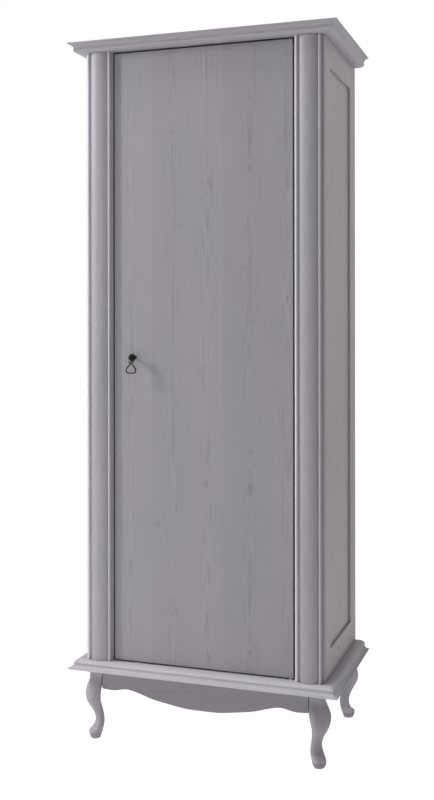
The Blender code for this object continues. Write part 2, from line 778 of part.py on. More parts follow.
def build_aprons():
    block_face = LEG_BLOCK / 2
    half_front = LEG_X - block_face - SEAT
    front = LEG_FRONT_Y - block_face + APRON_SETBACK
    outline = apron_outline(0.0, half_front, FRONT_APRON_EDGE)
    extruded("apron_front", [outline], "XZ", front, front + APRON_THICKNESS, PAINTED_PINE)
    rear = LEG_REAR_Y + block_face - APRON_SETBACK
    board(
        "apron_rear",
        (-half_front, rear - APRON_THICKNESS, LEG_TOP - REAR_APRON_DEPTH),
        (half_front, rear, LEG_TOP),
        PAINTED_PINE,
        EASING,
    )
    half_side = (LEG_REAR_Y - LEG_FRONT_Y) / 2 - block_face - SEAT
    outline = apron_outline((LEG_FRONT_Y + LEG_REAR_Y) / 2, half_side, SIDE_APRON_EDGE)
    outer = LEG_X + block_face - APRON_SETBACK
    extruded("apron_right", [outline], "YZ", outer - APRON_THICKNESS, outer, PAINTED_PINE)
    extruded("apron_left", [outline], "YZ", -outer, APRON_THICKNESS - outer, PAINTED_PINE)


# Inside

def build_shelf():
    half_length = INNER_HALF - SHELF_PIN_COLLAR_DEPTH - SHELF_END_CLEARANCE
    board(
        "hat_shelf",
        (-half_length, SHELF_FRONT, SHELF_UNDERSIDE),
        (half_length, SHELF_REAR, SHELF_TOP),
        PAINTED_PINE,
        EASING,
    )


def rail_oval(grow):
    """The rail's oval about its centre, grown all round."""
    radius = RAIL_WIDTH / 2 + grow
    straight = (RAIL_HEIGHT - RAIL_WIDTH) / 2
    outline = arc((0.0, RAIL_Z + straight), radius, radius, 0, 180, 8)
    return outline + arc((0.0, RAIL_Z - straight), radius, radius, 180, 360, 8)


def bracket_outline():
    """A bracket's face: its foot under the shelf, its neck, and the cup round the rail."""
    radius = RAIL_WIDTH / 2 + SEAT + BRACKET_WALL
    straight = (RAIL_HEIGHT - RAIL_WIDTH) / 2
    top = SHELF_UNDERSIDE - SEAT
    neck = BRACKET_NECK_WIDTH / 2
    meets = math.degrees(math.asin(neck / radius))
    half = arc((0.0, RAIL_Z - straight), radius, radius, -90, 0, 6)
    half += arc((0.0, RAIL_Z + straight), radius, radius, 0, 90 - meets, 4)
    half += [
        (neck, top - BRACKET_FOOT_ROOT),
        (BRACKET_FOOT_WIDTH / 2, top - BRACKET_FOOT_THICKNESS),
        (BRACKET_FOOT_WIDTH / 2, top),
    ]
    return mirrored(half)


def build_clothes_rail():
    front, rear = SHELF_FRONT + RAIL_INSET, SHELF_REAR - RAIL_INSET
    extruded("clothes_rail", [rail_oval(0.0), rail_oval(-RAIL_WALL)], "XZ", front, rear, CHROME)
    for end, tip, way in (("front", front, 1), ("rear", rear, -1)):
        socket_floor = tip - way * SEAT
        socket_mouth = socket_floor + way * BRACKET_SOCKET
        outer_face = socket_mouth - way * BRACKET_DEPTH
        near, far = sorted((outer_face, socket_mouth))
        bracket = as_mesh(extruded(f"rail_bracket_{end}", [bracket_outline()], "XZ", near, far, NICKEL))
        near, far = sorted((socket_floor, socket_mouth + way * CUTTER_OVERRUN))
        cut(bracket, as_mesh(extruded(f"rail socket {end}", [rail_oval(SEAT)], "XZ", near, far, NICKEL)))


# Pivot hinges

def pivot_plate_box(name, near, far, grow):
    """A pivot's plate between two heights, grown all round."""
    low, high = sorted((near, far))
    return board(
        name,
        (PIVOT.x + PIVOT_PLATE_END - PIVOT_PLATE_LENGTH - grow, PIVOT.y - PIVOT_PLATE_WIDTH / 2 - grow, low),
        (PIVOT.x + PIVOT_PLATE_END + grow, PIVOT.y + PIVOT_PLATE_WIDTH / 2 + grow, high),
        STEEL,
    )


def pivot_mortise(name, face, inwards):
    """The pocket for a plate, let into a board whose face is at this height."""
    floor = face + inwards * (PIVOT_PLATE_THICKNESS + SEAT)
    return pivot_plate_box(name, face - inwards * CUTTER_OVERRUN, floor, SEAT)


def build_pivot(label, carcass_face, door_edge, way):
    """A pivot hinge: the plate with its pin points from the carcass into the door along way."""
    plate = pivot_plate_box(
        f"pivot_plate_{label}", carcass_face - way * PIVOT_PLATE_THICKNESS, carcass_face, 0.0
    )
    root = carcass_face - way * PIVOT_PLATE_THICKNESS / 2
    collar = abs(door_edge - root) - SEAT
    tip = abs(door_edge - root) + PIVOT_PIN_REACH
    pin = [
        (0.0, tip),
        (PIVOT_PIN_RADIUS, tip),
        (PIVOT_PIN_RADIUS, collar),
        (PIVOT_COLLAR_RADIUS, collar),
        (PIVOT_COLLAR_RADIUS, 0.0),
        (0.0, 0.0),
    ]
    join(plate, turned(f"pivot pin {label}", pin, (PIVOT.x, PIVOT.y, root), (0, 0, way), STEEL, steps=32))
    socket = pivot_plate_box(
        f"pivot_socket_{label}", door_edge, door_edge + way * PIVOT_PLATE_THICKNESS, 0.0
    )
    bore = rod(
        f"pivot bore {label}",
        (PIVOT.x, PIVOT.y, door_edge - way * CUTTER_OVERRUN),
        (PIVOT.x, PIVOT.y, door_edge + way * CUTTER_OVERRUN),
        PIVOT_PIN_RADIUS + PIVOT_PLAY,
        STEEL,
        sides=32,
    )
    return cut(socket, bore)


# Door

def build_door():
    door = board(
        "door",
        (-DOOR_HALF, FRONT, DOOR_BOTTOM),
        (DOOR_HALF, DOOR_BACK, DOOR_TOP),
        PAINTED_PINE,
        DOOR_EASING,
    )
    for label, edge, way in (("bottom", DOOR_BOTTOM, 1), ("top", DOOR_TOP, -1)):
        pin_room = rod(
            f"pivot pin room {label}",
            (PIVOT.x, PIVOT.y, edge),
            (PIVOT.x, PIVOT.y, edge + way * (PIVOT_PIN_REACH + 4 * SEAT)),
            PIVOT_PIN_RADIUS + 3 * SEAT,
            PAINTED_PINE,
        )
        cut(door, pivot_mortise(f"pivot mortise in door {label}", edge, way), pin_room)
    screw_hole = rod(
        "pull screw hole",
        PULL - Vector((0.0, CUTTER_OVERRUN, 0.0)),
        (PULL.x, DOOR_BACK + CUTTER_OVERRUN, PULL.z),
        PULL_SCREW_RADIUS + SEAT,
        PAINTED_PINE,
        sides=16,
    )
    return cut(door, screw_hole)


# Pull

def build_knob():
    """The knob: rose, neck, dished head with a rolled rim, and the clevis that holds the pendant."""
    head_back = KNOB_STAND - KNOB_HEAD_DEPTH
    rim = (KNOB_RADIUS - NECK_RADIUS) / 3
    head = [
        (KNOB_RADIUS - 2 * rim, KNOB_STAND - KNOB_DISH),
        (KNOB_RADIUS - rim, KNOB_STAND),
        (KNOB_RADIUS, KNOB_STAND - rim),
        (KNOB_RADIUS - rim / 2, KNOB_STAND - KNOB_HEAD_DEPTH / 2),
        (NECK_RADIUS + rim / 2, head_back + rim / 2),
        (NECK_RADIUS, head_back - rim),
    ]
    profile = [(0.0, KNOB_STAND - KNOB_DISH)]
    profile += [tuple(point) for point in smooth(head, 3)]
    profile += [
        (NECK_RADIUS, ROSE_THICKNESS + rim / 2),
        (ROSE_RADIUS - rim / 2, ROSE_THICKNESS),
        (ROSE_RADIUS, ROSE_THICKNESS / 2),
        (ROSE_RADIUS, SEAT),
        (0.0, SEAT),
    ]
    knob = turned("pull_knob", profile, PULL, (0, -1, 0), IRON, steps=28)
    bore = rod(
        "pull screw bore",
        PULL + Vector((0.0, CUTTER_OVERRUN, 0.0)),
        PULL - Vector((0.0, PULL_SCREW_REACH + SEAT, 0.0)),
        PULL_SCREW_RADIUS + SEAT,
        IRON,
        sides=16,
    )
    pin_hole = pendant_pin_hole("pendant pin hole in knob", CHEEK_GAP + 2 * CHEEK_THICKNESS)
    cheeks = []
    for side in (-1, 1):
        inner, outer = sorted((side * CHEEK_GAP / 2, side * (CHEEK_GAP / 2 + CHEEK_THICKNESS)))
        cheek = board(
            f"clevis cheek {side}",
            (PULL.x + inner, PENDANT.y - CHEEK_OVERHANG, PULL.z - CHEEK_HEIGHT / 2),
            (PULL.x + outer, PULL.y - KNOB_STAND + 2 * KNOB_DISH, PULL.z + CHEEK_HEIGHT / 2),
            IRON,
        )
        cheeks.append(cheek)
    join(knob, *cheeks)
    return cut(knob, bore, pin_hole)


def pendant_pin_hole(name, length):
    half = Vector((length / 2 + CUTTER_OVERRUN / 2, 0.0, 0.0))
    return rod(name, PENDANT - half, PENDANT + half, PENDANT_PIN_RADIUS + SEAT, IRON, sides=16)


def build_pendant_pin():
    """The pin through the clevis, headed over at both ends."""
    half = CHEEK_GAP / 2 + CHEEK_THICKNESS + SEAT
    tip = half + PENDANT_PIN_HEAD_DEPTH
    profile = [
        (0.0, tip),
        (PENDANT_PIN_HEAD, tip),
        (PENDANT_PIN_HEAD, half),
        (PENDANT_PIN_RADIUS, half),
        (PENDANT_PIN_RADIUS, -half),
        (PENDANT_PIN_HEAD, -half),
        (PENDANT_PIN_HEAD, -tip),
        (0.0, -tip),
    ]
    return turned("pull_pin", profile, PENDANT, (1, 0, 0), IRON, steps=16)


def build_pendant():
    """The hanging pendant: an eye on the pin, a stem, a pear-shaped loop and two ears."""
    def at(across, down):
        return PENDANT + Vector((across, 0.0, -down))

    shape = (
        (0.00, 0.00),
        (0.45, 0.24),
        (0.92, 0.52),
        (1.00, 0.72),
        (0.84, 0.92),
        (0.45, 0.985),
        (0.00, 1.00),
    )
    half = [(across * LOOP_HALF_WIDTH, PENDANT_STEM + down * LOOP_HEIGHT) for across, down in shape]
    outline = half + [(-across, down) for across, down in reversed(half[1:-1])]
    loop_points = [at(*point) for point in smooth(outline, 3, closed=True)]
    half_eye = Vector((PENDANT_EYE_THICKNESS / 2, 0.0, 0.0))
    eye = rod("pull_pendant", PENDANT - half_eye, PENDANT + half_eye, PENDANT_EYE_RADIUS, IRON, sides=20)
    stem_points = [at(0.0, down * PENDANT_STEM) for down in (0.15, 0.5, 1.0)]
    stem_points += [at(0.0, PENDANT_STEM + PENDANT_WIRE_RADIUS)]
    parts = [
        as_mesh(wire("pendant loop", loop_points, PENDANT_WIRE_RADIUS, IRON, closed=True)),
        as_mesh(wire("pendant stem", stem_points, PENDANT_EYE_THICKNESS / 2, IRON)),
    ]
    for side in (-1, 1):
        ear = [
            at(0.0, PENDANT_STEM + PENDANT_WIRE_RADIUS / 2),
            at(side * EAR_REACH * 0.55, PENDANT_STEM - EAR_RISE * 0.35),
            at(side * EAR_REACH, PENDANT_STEM - EAR_RISE),
        ]
        parts.append(as_mesh(wire(f"pendant ear {side}", smooth(ear, 3), PENDANT_WIRE_RADIUS, IRON)))
    join(eye, *parts)
    return cut(eye, pendant_pin_hole("pendant pin hole in eye", PENDANT_EYE_THICKNESS))


def build_pull_screw():
    """The screw from the back of the door into the knob."""
    reach = DOOR_THICKNESS + SEAT + PULL_SCREW_REACH
    profile = [
        (0.0, PULL_SCREW_HEAD_DEPTH),
        (PULL_SCREW_HEAD / 2, PULL_SCREW_HEAD_DEPTH),
        (PULL_SCREW_HEAD, PULL_SCREW_HEAD_DEPTH / 2),
        (PULL_SCREW_HEAD, 0.0),
        (PULL_SCREW_RADIUS, 0.0),
        (PULL_SCREW_RADIUS, -reach),
        (0.0, -reach),
    ]
    head_seat = Vector((PULL.x, DOOR_BACK + SEAT, PULL.z))
    return turned("pull_screw", profile, head_seat, (0, 1, 0), STEEL, steps=16)


# Magnetic catch

def build_catch():
    """The housing under the top panel, its magnet, and the strike plate on the door."""
    middle = CATCH_FROM_EDGE - DOOR_HALF
    strike_half = MAGNET_LENGTH / 2 + STRIKE_OVERLAP
    strike_top = DOOR_TOP - DOOR_EASING - STRIKE_DROP
    strike_back = DOOR_BACK + SEAT + STRIKE_THICKNESS
    magnet_half = MAGNET_LENGTH / 2
    magnet_front = strike_back + SEAT
    magnet_back = magnet_front + MAGNET_DEPTH
    magnet_top = strike_top - (STRIKE_HEIGHT - MAGNET_HEIGHT) / 2
    magnet_bottom = magnet_top - MAGNET_HEIGHT
    housing_front = magnet_front + MAGNET_STAND
    housing = board(
        "catch_housing",
        (middle - magnet_half - CATCH_EAR, housing_front, magnet_bottom - SEAT - CATCH_WALL),
        (middle + magnet_half + CATCH_EAR, magnet_back + SEAT + CATCH_BACK, SOFFIT - SEAT),
        PLASTIC,
        EASING / 2,
    )
    pocket = board(
        "magnet pocket",
        (middle - magnet_half - SEAT, housing_front - CUTTER_OVERRUN, magnet_bottom - SEAT),
        (middle + magnet_half + SEAT, magnet_back + SEAT, magnet_top + SEAT),
        PLASTIC,
    )
    cut(housing, pocket)
    board(
        "catch_magnet",
        (middle - magnet_half, magnet_front, magnet_bottom),
        (middle + magnet_half, magnet_back, magnet_top),
        STEEL,
    )
    return board(
        "strike_plate",
        (middle - strike_half, DOOR_BACK + SEAT, strike_top - STRIKE_HEIGHT),
        (middle + strike_half, strike_back, strike_top),
        STEEL,
    )


# The wardrobe

clear_scene()
WARDROBE = new_collection("wardrobe")
CUTTERS = new_collection("cutters")
PAINTED_PINE = new_finish("stained pine", (0.29, 0.275, 0.30), 0.5)
HARDBOARD = new_finish("stained back panel", (0.32, 0.30, 0.32), 0.6)
IRON = new_finish("blackened iron", (0.025, 0.023, 0.022), 0.4, 1.0)
STEEL = new_finish("zinc-plated steel", (0.45, 0.45, 0.46), 0.35, 1.0)
NICKEL = new_finish("nickel", (0.55, 0.54, 0.52), 0.25, 1.0)
CHROME = new_finish("chrome", (0.7, 0.7, 0.7), 0.12, 1.0)
PLASTIC = new_finish("grey plastic", (0.20, 0.19, 0.18), 0.5)

build_mouldings()
rabbet = board(
    "back panel rabbet",
    (-INNER_HALF - RABBET_WIDTH, RABBET_FRONT, RABBET_BOTTOM),
    (INNER_HALF + RABBET_WIDTH, BACK + CUTTER_OVERRUN, RABBET_TOP),
    PAINTED_PINE,
)
build_top_and_back(rabbet)
build_bottom(rabbet)
for label, side in (("left", -1), ("right", 1)):
    build_side(label, side, rabbet)
    build_face(label, side)
build_legs()
build_aprons()
build_shelf()
build_clothes_rail()

sockets = [
    build_pivot("bottom", FLOOR_HEIGHT, DOOR_BOTTOM, 1),
    build_pivot("top", SOFFIT, DOOR_TOP, -1),
]
door = build_door()
knob = build_knob()
pendant_pin = build_pendant_pin()
pendant = build_pendant()
pull_screw = build_pull_screw()
strike = build_catch()

door_axis = joint_axis("door axis", PIVOT + Vector((0.0, 0.0, DOOR_BOTTOM)))
pendant_axis = joint_axis("pendant axis", PENDANT)
carried_by(door_axis, door, *sockets, knob, pendant_pin, pull_screw, strike, pendant_axis)
carried_by(pendant_axis, pendant)
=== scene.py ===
"""Looks of the one-door wardrobe: grey-lilac stained pine with a blackened iron drop pull.

Metres, X to the right, Y to the back and Z up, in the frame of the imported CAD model.
"""

import json
import math

import bpy
from mathutils import Matrix, Vector

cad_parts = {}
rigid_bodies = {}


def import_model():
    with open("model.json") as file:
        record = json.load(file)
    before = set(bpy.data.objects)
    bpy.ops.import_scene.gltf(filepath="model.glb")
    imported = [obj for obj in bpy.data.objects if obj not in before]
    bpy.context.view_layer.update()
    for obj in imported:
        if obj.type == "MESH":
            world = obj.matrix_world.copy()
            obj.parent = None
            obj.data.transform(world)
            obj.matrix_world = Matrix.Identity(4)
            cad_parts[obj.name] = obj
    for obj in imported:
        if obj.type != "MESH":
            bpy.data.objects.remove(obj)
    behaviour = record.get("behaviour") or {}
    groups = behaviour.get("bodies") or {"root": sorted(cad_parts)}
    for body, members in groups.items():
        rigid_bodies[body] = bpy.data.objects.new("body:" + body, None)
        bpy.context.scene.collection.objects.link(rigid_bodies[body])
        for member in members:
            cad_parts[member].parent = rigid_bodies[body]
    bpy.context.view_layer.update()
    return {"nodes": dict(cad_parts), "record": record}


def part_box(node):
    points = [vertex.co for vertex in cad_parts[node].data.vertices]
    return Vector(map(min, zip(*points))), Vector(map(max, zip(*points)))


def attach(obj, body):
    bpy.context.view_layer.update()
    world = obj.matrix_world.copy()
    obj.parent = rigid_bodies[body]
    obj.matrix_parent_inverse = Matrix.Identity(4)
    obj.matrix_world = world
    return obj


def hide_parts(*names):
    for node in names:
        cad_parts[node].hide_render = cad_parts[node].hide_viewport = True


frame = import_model()
NODES = frame["nodes"]
BODY_OF = {node: body for body, nodes in frame["record"]["behaviour"]["bodies"].items() for node in nodes}

# Camera, right of the wardrobe and turned to the left
CAMERA_FROM_FRONT = Vector((0.9827, -2.7776, 1.2071))
CAMERA_TURN = 0.3252  # radians
CAMERA_ROLL = -0.0012
LENS = 47.708  # millimetres, on a sensor 36 high
SENSOR = 36.0
LENS_SHIFT = -0.1005

# Stained pine, as linear colours
EARLY_WOOD = (0.340, 0.314, 0.352)
COOL_WOOD = (0.332, 0.316, 0.343)
# A pink tint painted on the sides for the light falling on them from the right
ROSY_LIGHT_TINT = (0.352, 0.314, 0.342)
LATE_WOOD = (0.287, 0.268, 0.302)
KNOT_WOOD = (0.175, 0.160, 0.176)
LATE_DARKENING = 0.26
KNOT_DARKENING = 0.31
PITH_LINE_DARKENING = 0.20
DASHES = 0.85
STREAKS = 0.11
CLOUDS = 0.10
FIBRES = 0.07
WOOD_ROUGHNESS = 0.50
WOOD_SPECULAR = 0.30
GRAIN_HEIGHT = 0.0006
PITH_DEPTH = 0.045
DOOR_PITH_DEPTH = 0.030
RING_WIDTH = 0.0036
KNOT_SPACING = 0.21

# How light each part's stain dried; several tones below also paint light and shade, as noted
DOOR_TONE = 0.84
# Painted shade along the door's top edge, deepening the gap under the cornice
DOOR_TOP_SHADE_TONE = 0.06
# The right pilaster's lower tone is painted shade, darker away from the key light on the left
PILASTER_SHADE_TONES = {"left": 1.00, "right": 0.91}
CORNICE_TONE = 1.02
# The base moulding's high tone is painted light from above
BASE_TOP_LIGHT_TONE = 1.42
SIDE_RUN_LIGHT_AND_SHADE = {"cornice": 1.18, "base_moulding": 0.86}  # beside the front run's: painted light on the cornice's side runs, painted shade on the base moulding's
# Painted light on the sides, lighter than the front
SIDE_LIGHT_TONE = 1.10
# The rear stiles' lower tone is painted shade beside the lit side
REAR_STILE_SHADE_TONE = 1.03
# Painted light on the bottom panel, lifting the shade in the gap under the door
BOTTOM_GAP_LIGHT_TONE = 1.40
# Painted shade on the aprons under the base moulding
APRON_SHADE_TONE = 0.71
# Painted shade on the front right leg and painted light on the rear right leg
LEG_LIGHT_AND_SHADE_TONES = {"front_left": 0.94, "front_right": 0.83, "rear_left": 0.95, "rear_right": 1.26}
TOE_LIGHT_AND_SHADE_BANDS = ((-1.0, 0.019, 0.84), (0.019, 0.034, 1.20))  # from height, to height, tone: painted shade on the foot's pad, painted light on the toe's top
BEAD_HIGHLIGHT_TONES = {"left": (2.15, 1.34), "right": (1.95, 1.18)}  # painted highlight on the left and right bead of each pilaster, lapping onto the flute beside it

# Light
SKY = (0.09, 0.05, 0.15, 0.00, 0.30)  # from the right, the left, the back, the front and above
FLOOR_COLOUR = (0.90, 0.90, 0.90)
FLOOR_SEEN = (0.10, 0.10, 0.10)
FLOOR_WHITE = 0.97
FLOOR_GLOW = 0.345
MIRRORED = 1.0
SOFTBOXES = (  # name, place, height that it is turned to, width, height, watts
    ("key softbox left", (-3.40, -1.61, 3.02), 1.2, 0.4, 1.1, 112.0),
    ("low strip left", (-2.40, -1.60, 1.00), 1.0, 0.8, 1.6, 10.0),
    ("overhead softbox", (-0.30, -0.75, 4.30), 1.2, 1.2, 1.2, 50.0),
    ("low fill", (0.00, -3.60, 0.50), 1.9, 3.0, 0.8, 11.0),
    ("high softbox right", (2.40, -0.50, 2.60), 1.3, 1.2, 1.2, 5.0),
)

# Glued-up boards, as (seam on the left, pith, shade) across the piece
ONE_BOARD = ((-9.0, 0.0, 1.0),)
SIDE_BOARDS = ((-9.0, -0.105, 1.01), (-0.052, 0.0, 0.99), (0.050, 0.098, 1.0))
WIDE_BOARDS = ((-9.0, -0.15, 0.97), (-0.10, -0.05, 1.02), (0.0, 0.055, 0.99), (0.11, 0.16, 1.01))
DOOR_BOARDS = (
    (-0.2700, -0.2120, 1.015),
    (-0.1480, -0.0835, 0.975),
    (-0.0340, 0.0165, 0.990),
    (0.0635, 0.1415, 0.945),
    (0.2205, 0.2490, 0.960),
)

# Door's knots, as (across, height, size)
DOOR_KNOTS = (
    (0.0233, 1.586, 0.0081),
    (-0.0830, 1.7305, 0.0054),
    (0.1420, 1.622, 0.0057),
    (0.1420, 1.816, 0.0032),
    (0.1420, 1.504, 0.0035),
    (0.2270, 1.699, 0.0032),
    (-0.0600, 1.469, 0.0032),
    (0.1245, 1.346, 0.0038),
    (0.2490, 1.265, 0.0035),
    (0.1450, 1.198, 0.0035),
    (0.0100, 1.073, 0.0038),
    (0.1450, 0.847, 0.0038),
    (0.0104, 0.751, 0.0057),
    (0.1420, 0.7435, 0.0089),
    (-0.1300, 0.631, 0.0054),
    (0.1400, 0.4835, 0.0041),
    (-0.0760, 0.396, 0.0062),
    (0.1400, 0.295, 0.0059),
    (0.0216, 0.270, 0.0059),
)

# Sizes of the profiles, as in the CAD model
SEAT = 0.0003
SOFFIT_WIDTH = 0.012
OVOLO_REACH = 0.0175
OVOLO_RISE = 0.0105
QUIRK = 0.0015
COVE_REACH = 0.0125
CORNICE_COVE_RISE = 0.014
BASE_COVE_RISE = 0.011
LIP = 0.0015
FILLET = 0.003
BEAD_WIDTH = 0.007
BEAD_STAND = 0.015
FLUTE_WIDTH = 0.003
FLUTE_STEP = 0.001
SHAFT_EDGE = 0.009
SHAFT_RISE = 0.009
KNOB_RADIUS = 0.011
KNOB_STAND = 0.026
KNOB_HEAD_DEPTH = 0.0095
KNOB_DISH = 0.0015
NECK_RADIUS = 0.0036
ROSE_RADIUS = 0.0050
ROSE_THICKNESS = 0.0020
CHEEK_THICKNESS = 0.0016
CHEEK_HEIGHT = 0.008
CHEEK_OVERHANG = 0.0045
PENDANT_FROM_KNOB = 0.005
PENDANT_PIN_RADIUS = 0.001
PENDANT_PIN_HEAD = 0.0018
PENDANT_PIN_HEAD_DEPTH = 0.0008
PENDANT_EYE_RADIUS = 0.0034
PENDANT_EYE_THICKNESS = 0.0026
PENDANT_WIRE_RADIUS = 0.0018
PENDANT_STEM = 0.016
LOOP_HALF_WIDTH = 0.0144
LOOP_HEIGHT = 0.0272
EAR_REACH = 0.0083
EAR_RISE = 0.0052
RAIL_WALL = 0.0012
PIVOT_PLATE = 0.0025
BRACKET_SCREW_REACH = 0.017
BRACKET_FLANGE_DEPTH = 0.0029
BACK_PIN_INSET = 0.006
BACK_PIN_SPACING = 0.12
BACK_PIN_RADIUS = 0.0022
BACK_PIN_STAND = 0.0006

# Where things are, from the CAD nodes
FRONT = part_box("door")[0].y
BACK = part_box("side_rear_stile_left")[1].y
HALF_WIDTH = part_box("side_front_stile_right")[1].x
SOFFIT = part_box("cornice_front")[0].z
BASE_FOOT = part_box("base_moulding_front")[0].z
PULL = Vector(((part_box("pull_knob")[0].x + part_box("pull_knob")[1].x) / 2, FRONT,
               (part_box("pull_knob")[0].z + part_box("pull_knob")[1].z) / 2))
PENDANT = PULL - Vector((0.0, KNOB_STAND + PENDANT_FROM_KNOB, 0.0))
AXES = {"X": Vector((1, 0, 0)), "Y": Vector((0, 1, 0)), "Z": Vector((0, 0, 1))}
TINY = 0.000005
PENDANT_MERGE = 0.00003  # closes the joins of the wires' thin faces


# Points

def arc(centre, radius_x, radius_y, start, end, steps):
    """Points on an ellipse's arc, from one angle to another in degrees."""
    x, y = centre
    angles = [math.radians(start + (end - start) * step / steps) for step in range(steps + 1)]
    return [(x + radius_x * math.cos(angle), y + radius_y * math.sin(angle)) for angle in angles]


def smooth(points, steps, closed=False):
    """Points on a Catmull-Rom curve through the given ones."""
    points = [Vector(point) for point in points]
    count = len(points)
    curve = []
    for span in range(count if closed else count - 1):
        places = [span - 1, span, span + 1, span + 2]
        places = [place % count if closed else min(max(place, 0), count - 1) for place in places]
        before, start, end, after = (points[place] for place in places)
        for step in range(steps):
            t = step / steps
            bend = 2 * before - 5 * start + 4 * end - after
            twist = 3 * start - before - 3 * end + after
            curve.append((2 * start + (end - before) * t + bend * t * t + twist * t**3) / 2)
    return curve if closed else curve + [points[-1]]


def middle(node):
    low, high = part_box(node)
    return (low + high) / 2


# Modelling

def deselect_all():
    for thing in bpy.context.view_layer.objects:
        thing.select_set(False)


def make_active(*pieces):
    """Selects pieces alone, with the first one active."""
    deselect_all()
    for piece in pieces:
        piece.select_set(True)
    bpy.context.view_layer.objects.active = pieces[0]
    return pieces[0]


def edit(piece, select="SELECT", mode="VERT"):
    make_active(piece)
    bpy.ops.object.mode_set(mode="EDIT")
    bpy.ops.mesh.select_mode(type=mode)
    bpy.ops.mesh.select_all(action=select)


def leave_edit():
    bpy.ops.object.mode_set(mode="OBJECT")


def close_mesh(merge=0.0):
    """Merges doubled points where asked, turns all faces outwards and leaves edit mode."""
    bpy.ops.mesh.select_all(action="SELECT")
    if merge:
        bpy.ops.mesh.remove_doubles(threshold=merge)
    bpy.ops.mesh.normals_make_consistent(inside=False)
    leave_edit()


def with_modifier(piece, kind, **settings):
    """Adds a modifier with its settings to a piece and applies it."""
    modifier = piece.modifiers.new(kind.lower(), kind)
    for name, value in settings.items():
        setattr(modifier, name, value)
    make_active(piece)
    bpy.ops.object.modifier_apply(modifier=modifier.name)
    return piece


def settle(piece, name):
    """Names a new piece and puts its place into its mesh."""
    piece.name = name
    make_active(piece)
    bpy.ops.object.transform_apply(location=True, rotation=True, scale=True)
    return piece


def new_block(name, low, high):
    """A block between two corners, as a start."""
    low, high = Vector(low), Vector(high)
    deselect_all()
    bpy.ops.mesh.primitive_cube_add(size=1.0, location=(low + high) / 2)
    block = bpy.context.active_object
    block.scale = high - low
    return settle(block, name)


def new_disc(name, centre, axis, radius, depth, sides=32):
    """A round bar about a centre, as a start."""
    deselect_all()
    bpy.context.tool_settings.mesh_select_mode = (True, False, False)
    turn = Vector(axis).to_track_quat("Z", "Y").to_euler()
    bpy.ops.mesh.primitive_cylinder_add(
        vertices=sides, radius=radius, depth=depth, location=centre, rotation=turn
    )
    return settle(bpy.context.active_object, name)


def drawn_outline(name, points, close=True):
    """An outline drawn point by point, left in edit mode with all of it selected."""
    points = [Vector(point) for point in points]
    deselect_all()
    bpy.ops.mesh.primitive_plane_add(size=0.001, location=points[0])
    piece = settle(bpy.context.active_object, name)
    edit(piece)
    bpy.ops.mesh.merge(type="CENTER")
    for start, end in zip(points, points[1:]):
        bpy.ops.mesh.extrude_vertices_move(TRANSFORM_OT_translate={"value": end - start})
    bpy.ops.mesh.select_all(action="SELECT")
    if close:
        bpy.ops.mesh.edge_face_add()
    return piece


def extruded_outline(name, points, travel):
    """A solid from an outline and the way it is drawn out, left in edit mode."""
    piece = drawn_outline(name, points)
    bpy.ops.mesh.extrude_region_move(TRANSFORM_OT_translate={"value": Vector(travel)})
    bpy.ops.mesh.select_all(action="SELECT")
    bpy.ops.mesh.normals_make_consistent(inside=False)
    return piece


def spun(name, profile, origin, axis, steps=64):
    """A profile of (radius, height) points, both ends on the axis, turned about an axis through origin."""
    axis = Vector(axis)
    side = axis.orthogonal().normalized()
    origin = Vector(origin)
    points = [origin + side * radius + axis * height for radius, height in profile]
    piece = drawn_outline(name, points, close=False)
    bpy.ops.mesh.spin(steps=steps, angle=2 * math.pi, center=origin, axis=axis)
    close_mesh(merge=TINY)
    return piece


def round_edges(piece, width, segments=3, angle=50.0, smooth_angle=None):
    """Rounds the sharp edges. With a smooth angle, the faces beside them keep their own even shading."""
    if smooth_angle:
        smooth_shade(piece, smooth_angle)
    return with_modifier(piece, "BEVEL", width=width, segments=segments, limit_method="ANGLE",
                         angle_limit=math.radians(angle), harden_normals=bool(smooth_angle))


def smooth_shade(piece, angle=35.0):
    make_active(piece)
    bpy.ops.object.shade_smooth_by_angle(angle=math.radians(angle))
    return piece


def combine(piece, others, operation="DIFFERENCE"):
    """Cuts others out of a piece, or joins them to it, and removes them."""
    for other in others:
        with_modifier(piece, "BOOLEAN", operation=operation, object=other)
        bpy.data.objects.remove(other, do_unlink=True)
    return piece


def joined(name, pieces):
    """Pieces that never touch, as one object."""
    make_active(*pieces)
    if len(pieces) > 1:
        bpy.ops.object.join()
    pieces[0].name = name
    return pieces[0]


def round_wire(name, points, radius, closed=False, steps=12):
    """A round wire through the points, as a mesh with its ends closed."""
    curve = bpy.data.curves.new(name, "CURVE")
    curve.dimensions = "3D"
    curve.bevel_depth = radius
    curve.bevel_resolution = 5
    curve.use_fill_caps = True
    run = smooth(points, steps, closed)
    spline = curve.splines.new("POLY")
    spline.points.add(len(run) - 1)
    for point, place in zip(spline.points, run):
        point.co = (*place, 1.0)
    spline.use_cyclic_u = closed
    piece = bpy.data.objects.new(name, curve)
    bpy.context.scene.collection.objects.link(piece)
    make_active(piece)
    bpy.ops.object.convert(target="MESH")
    edit(piece)
    close_mesh(merge=TINY)
    return piece


def cad_copy(node):
    """A copy of a CAD node's mesh with its triangles merged into whole faces."""
    piece = bpy.data.objects.new(f"{node}.finished", NODES[node].data.copy())
    bpy.context.scene.collection.objects.link(piece)
    edit(piece)
    bpy.ops.mesh.remove_doubles(threshold=TINY)
    bpy.ops.mesh.customdata_custom_splitnormals_clear()
    bpy.ops.mesh.dissolve_limited(angle_limit=math.radians(0.4))
    leave_edit()
    return piece


def finish(piece, surface, body, *nodes):
    """Gives a piece its surface and its body, and hides the CAD nodes that it stands for."""
    material, slot = surface
    piece.data.materials.clear()
    piece.data.materials.append(material)
    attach(piece, body)
    if nodes:
        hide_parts(*nodes)
    return piece


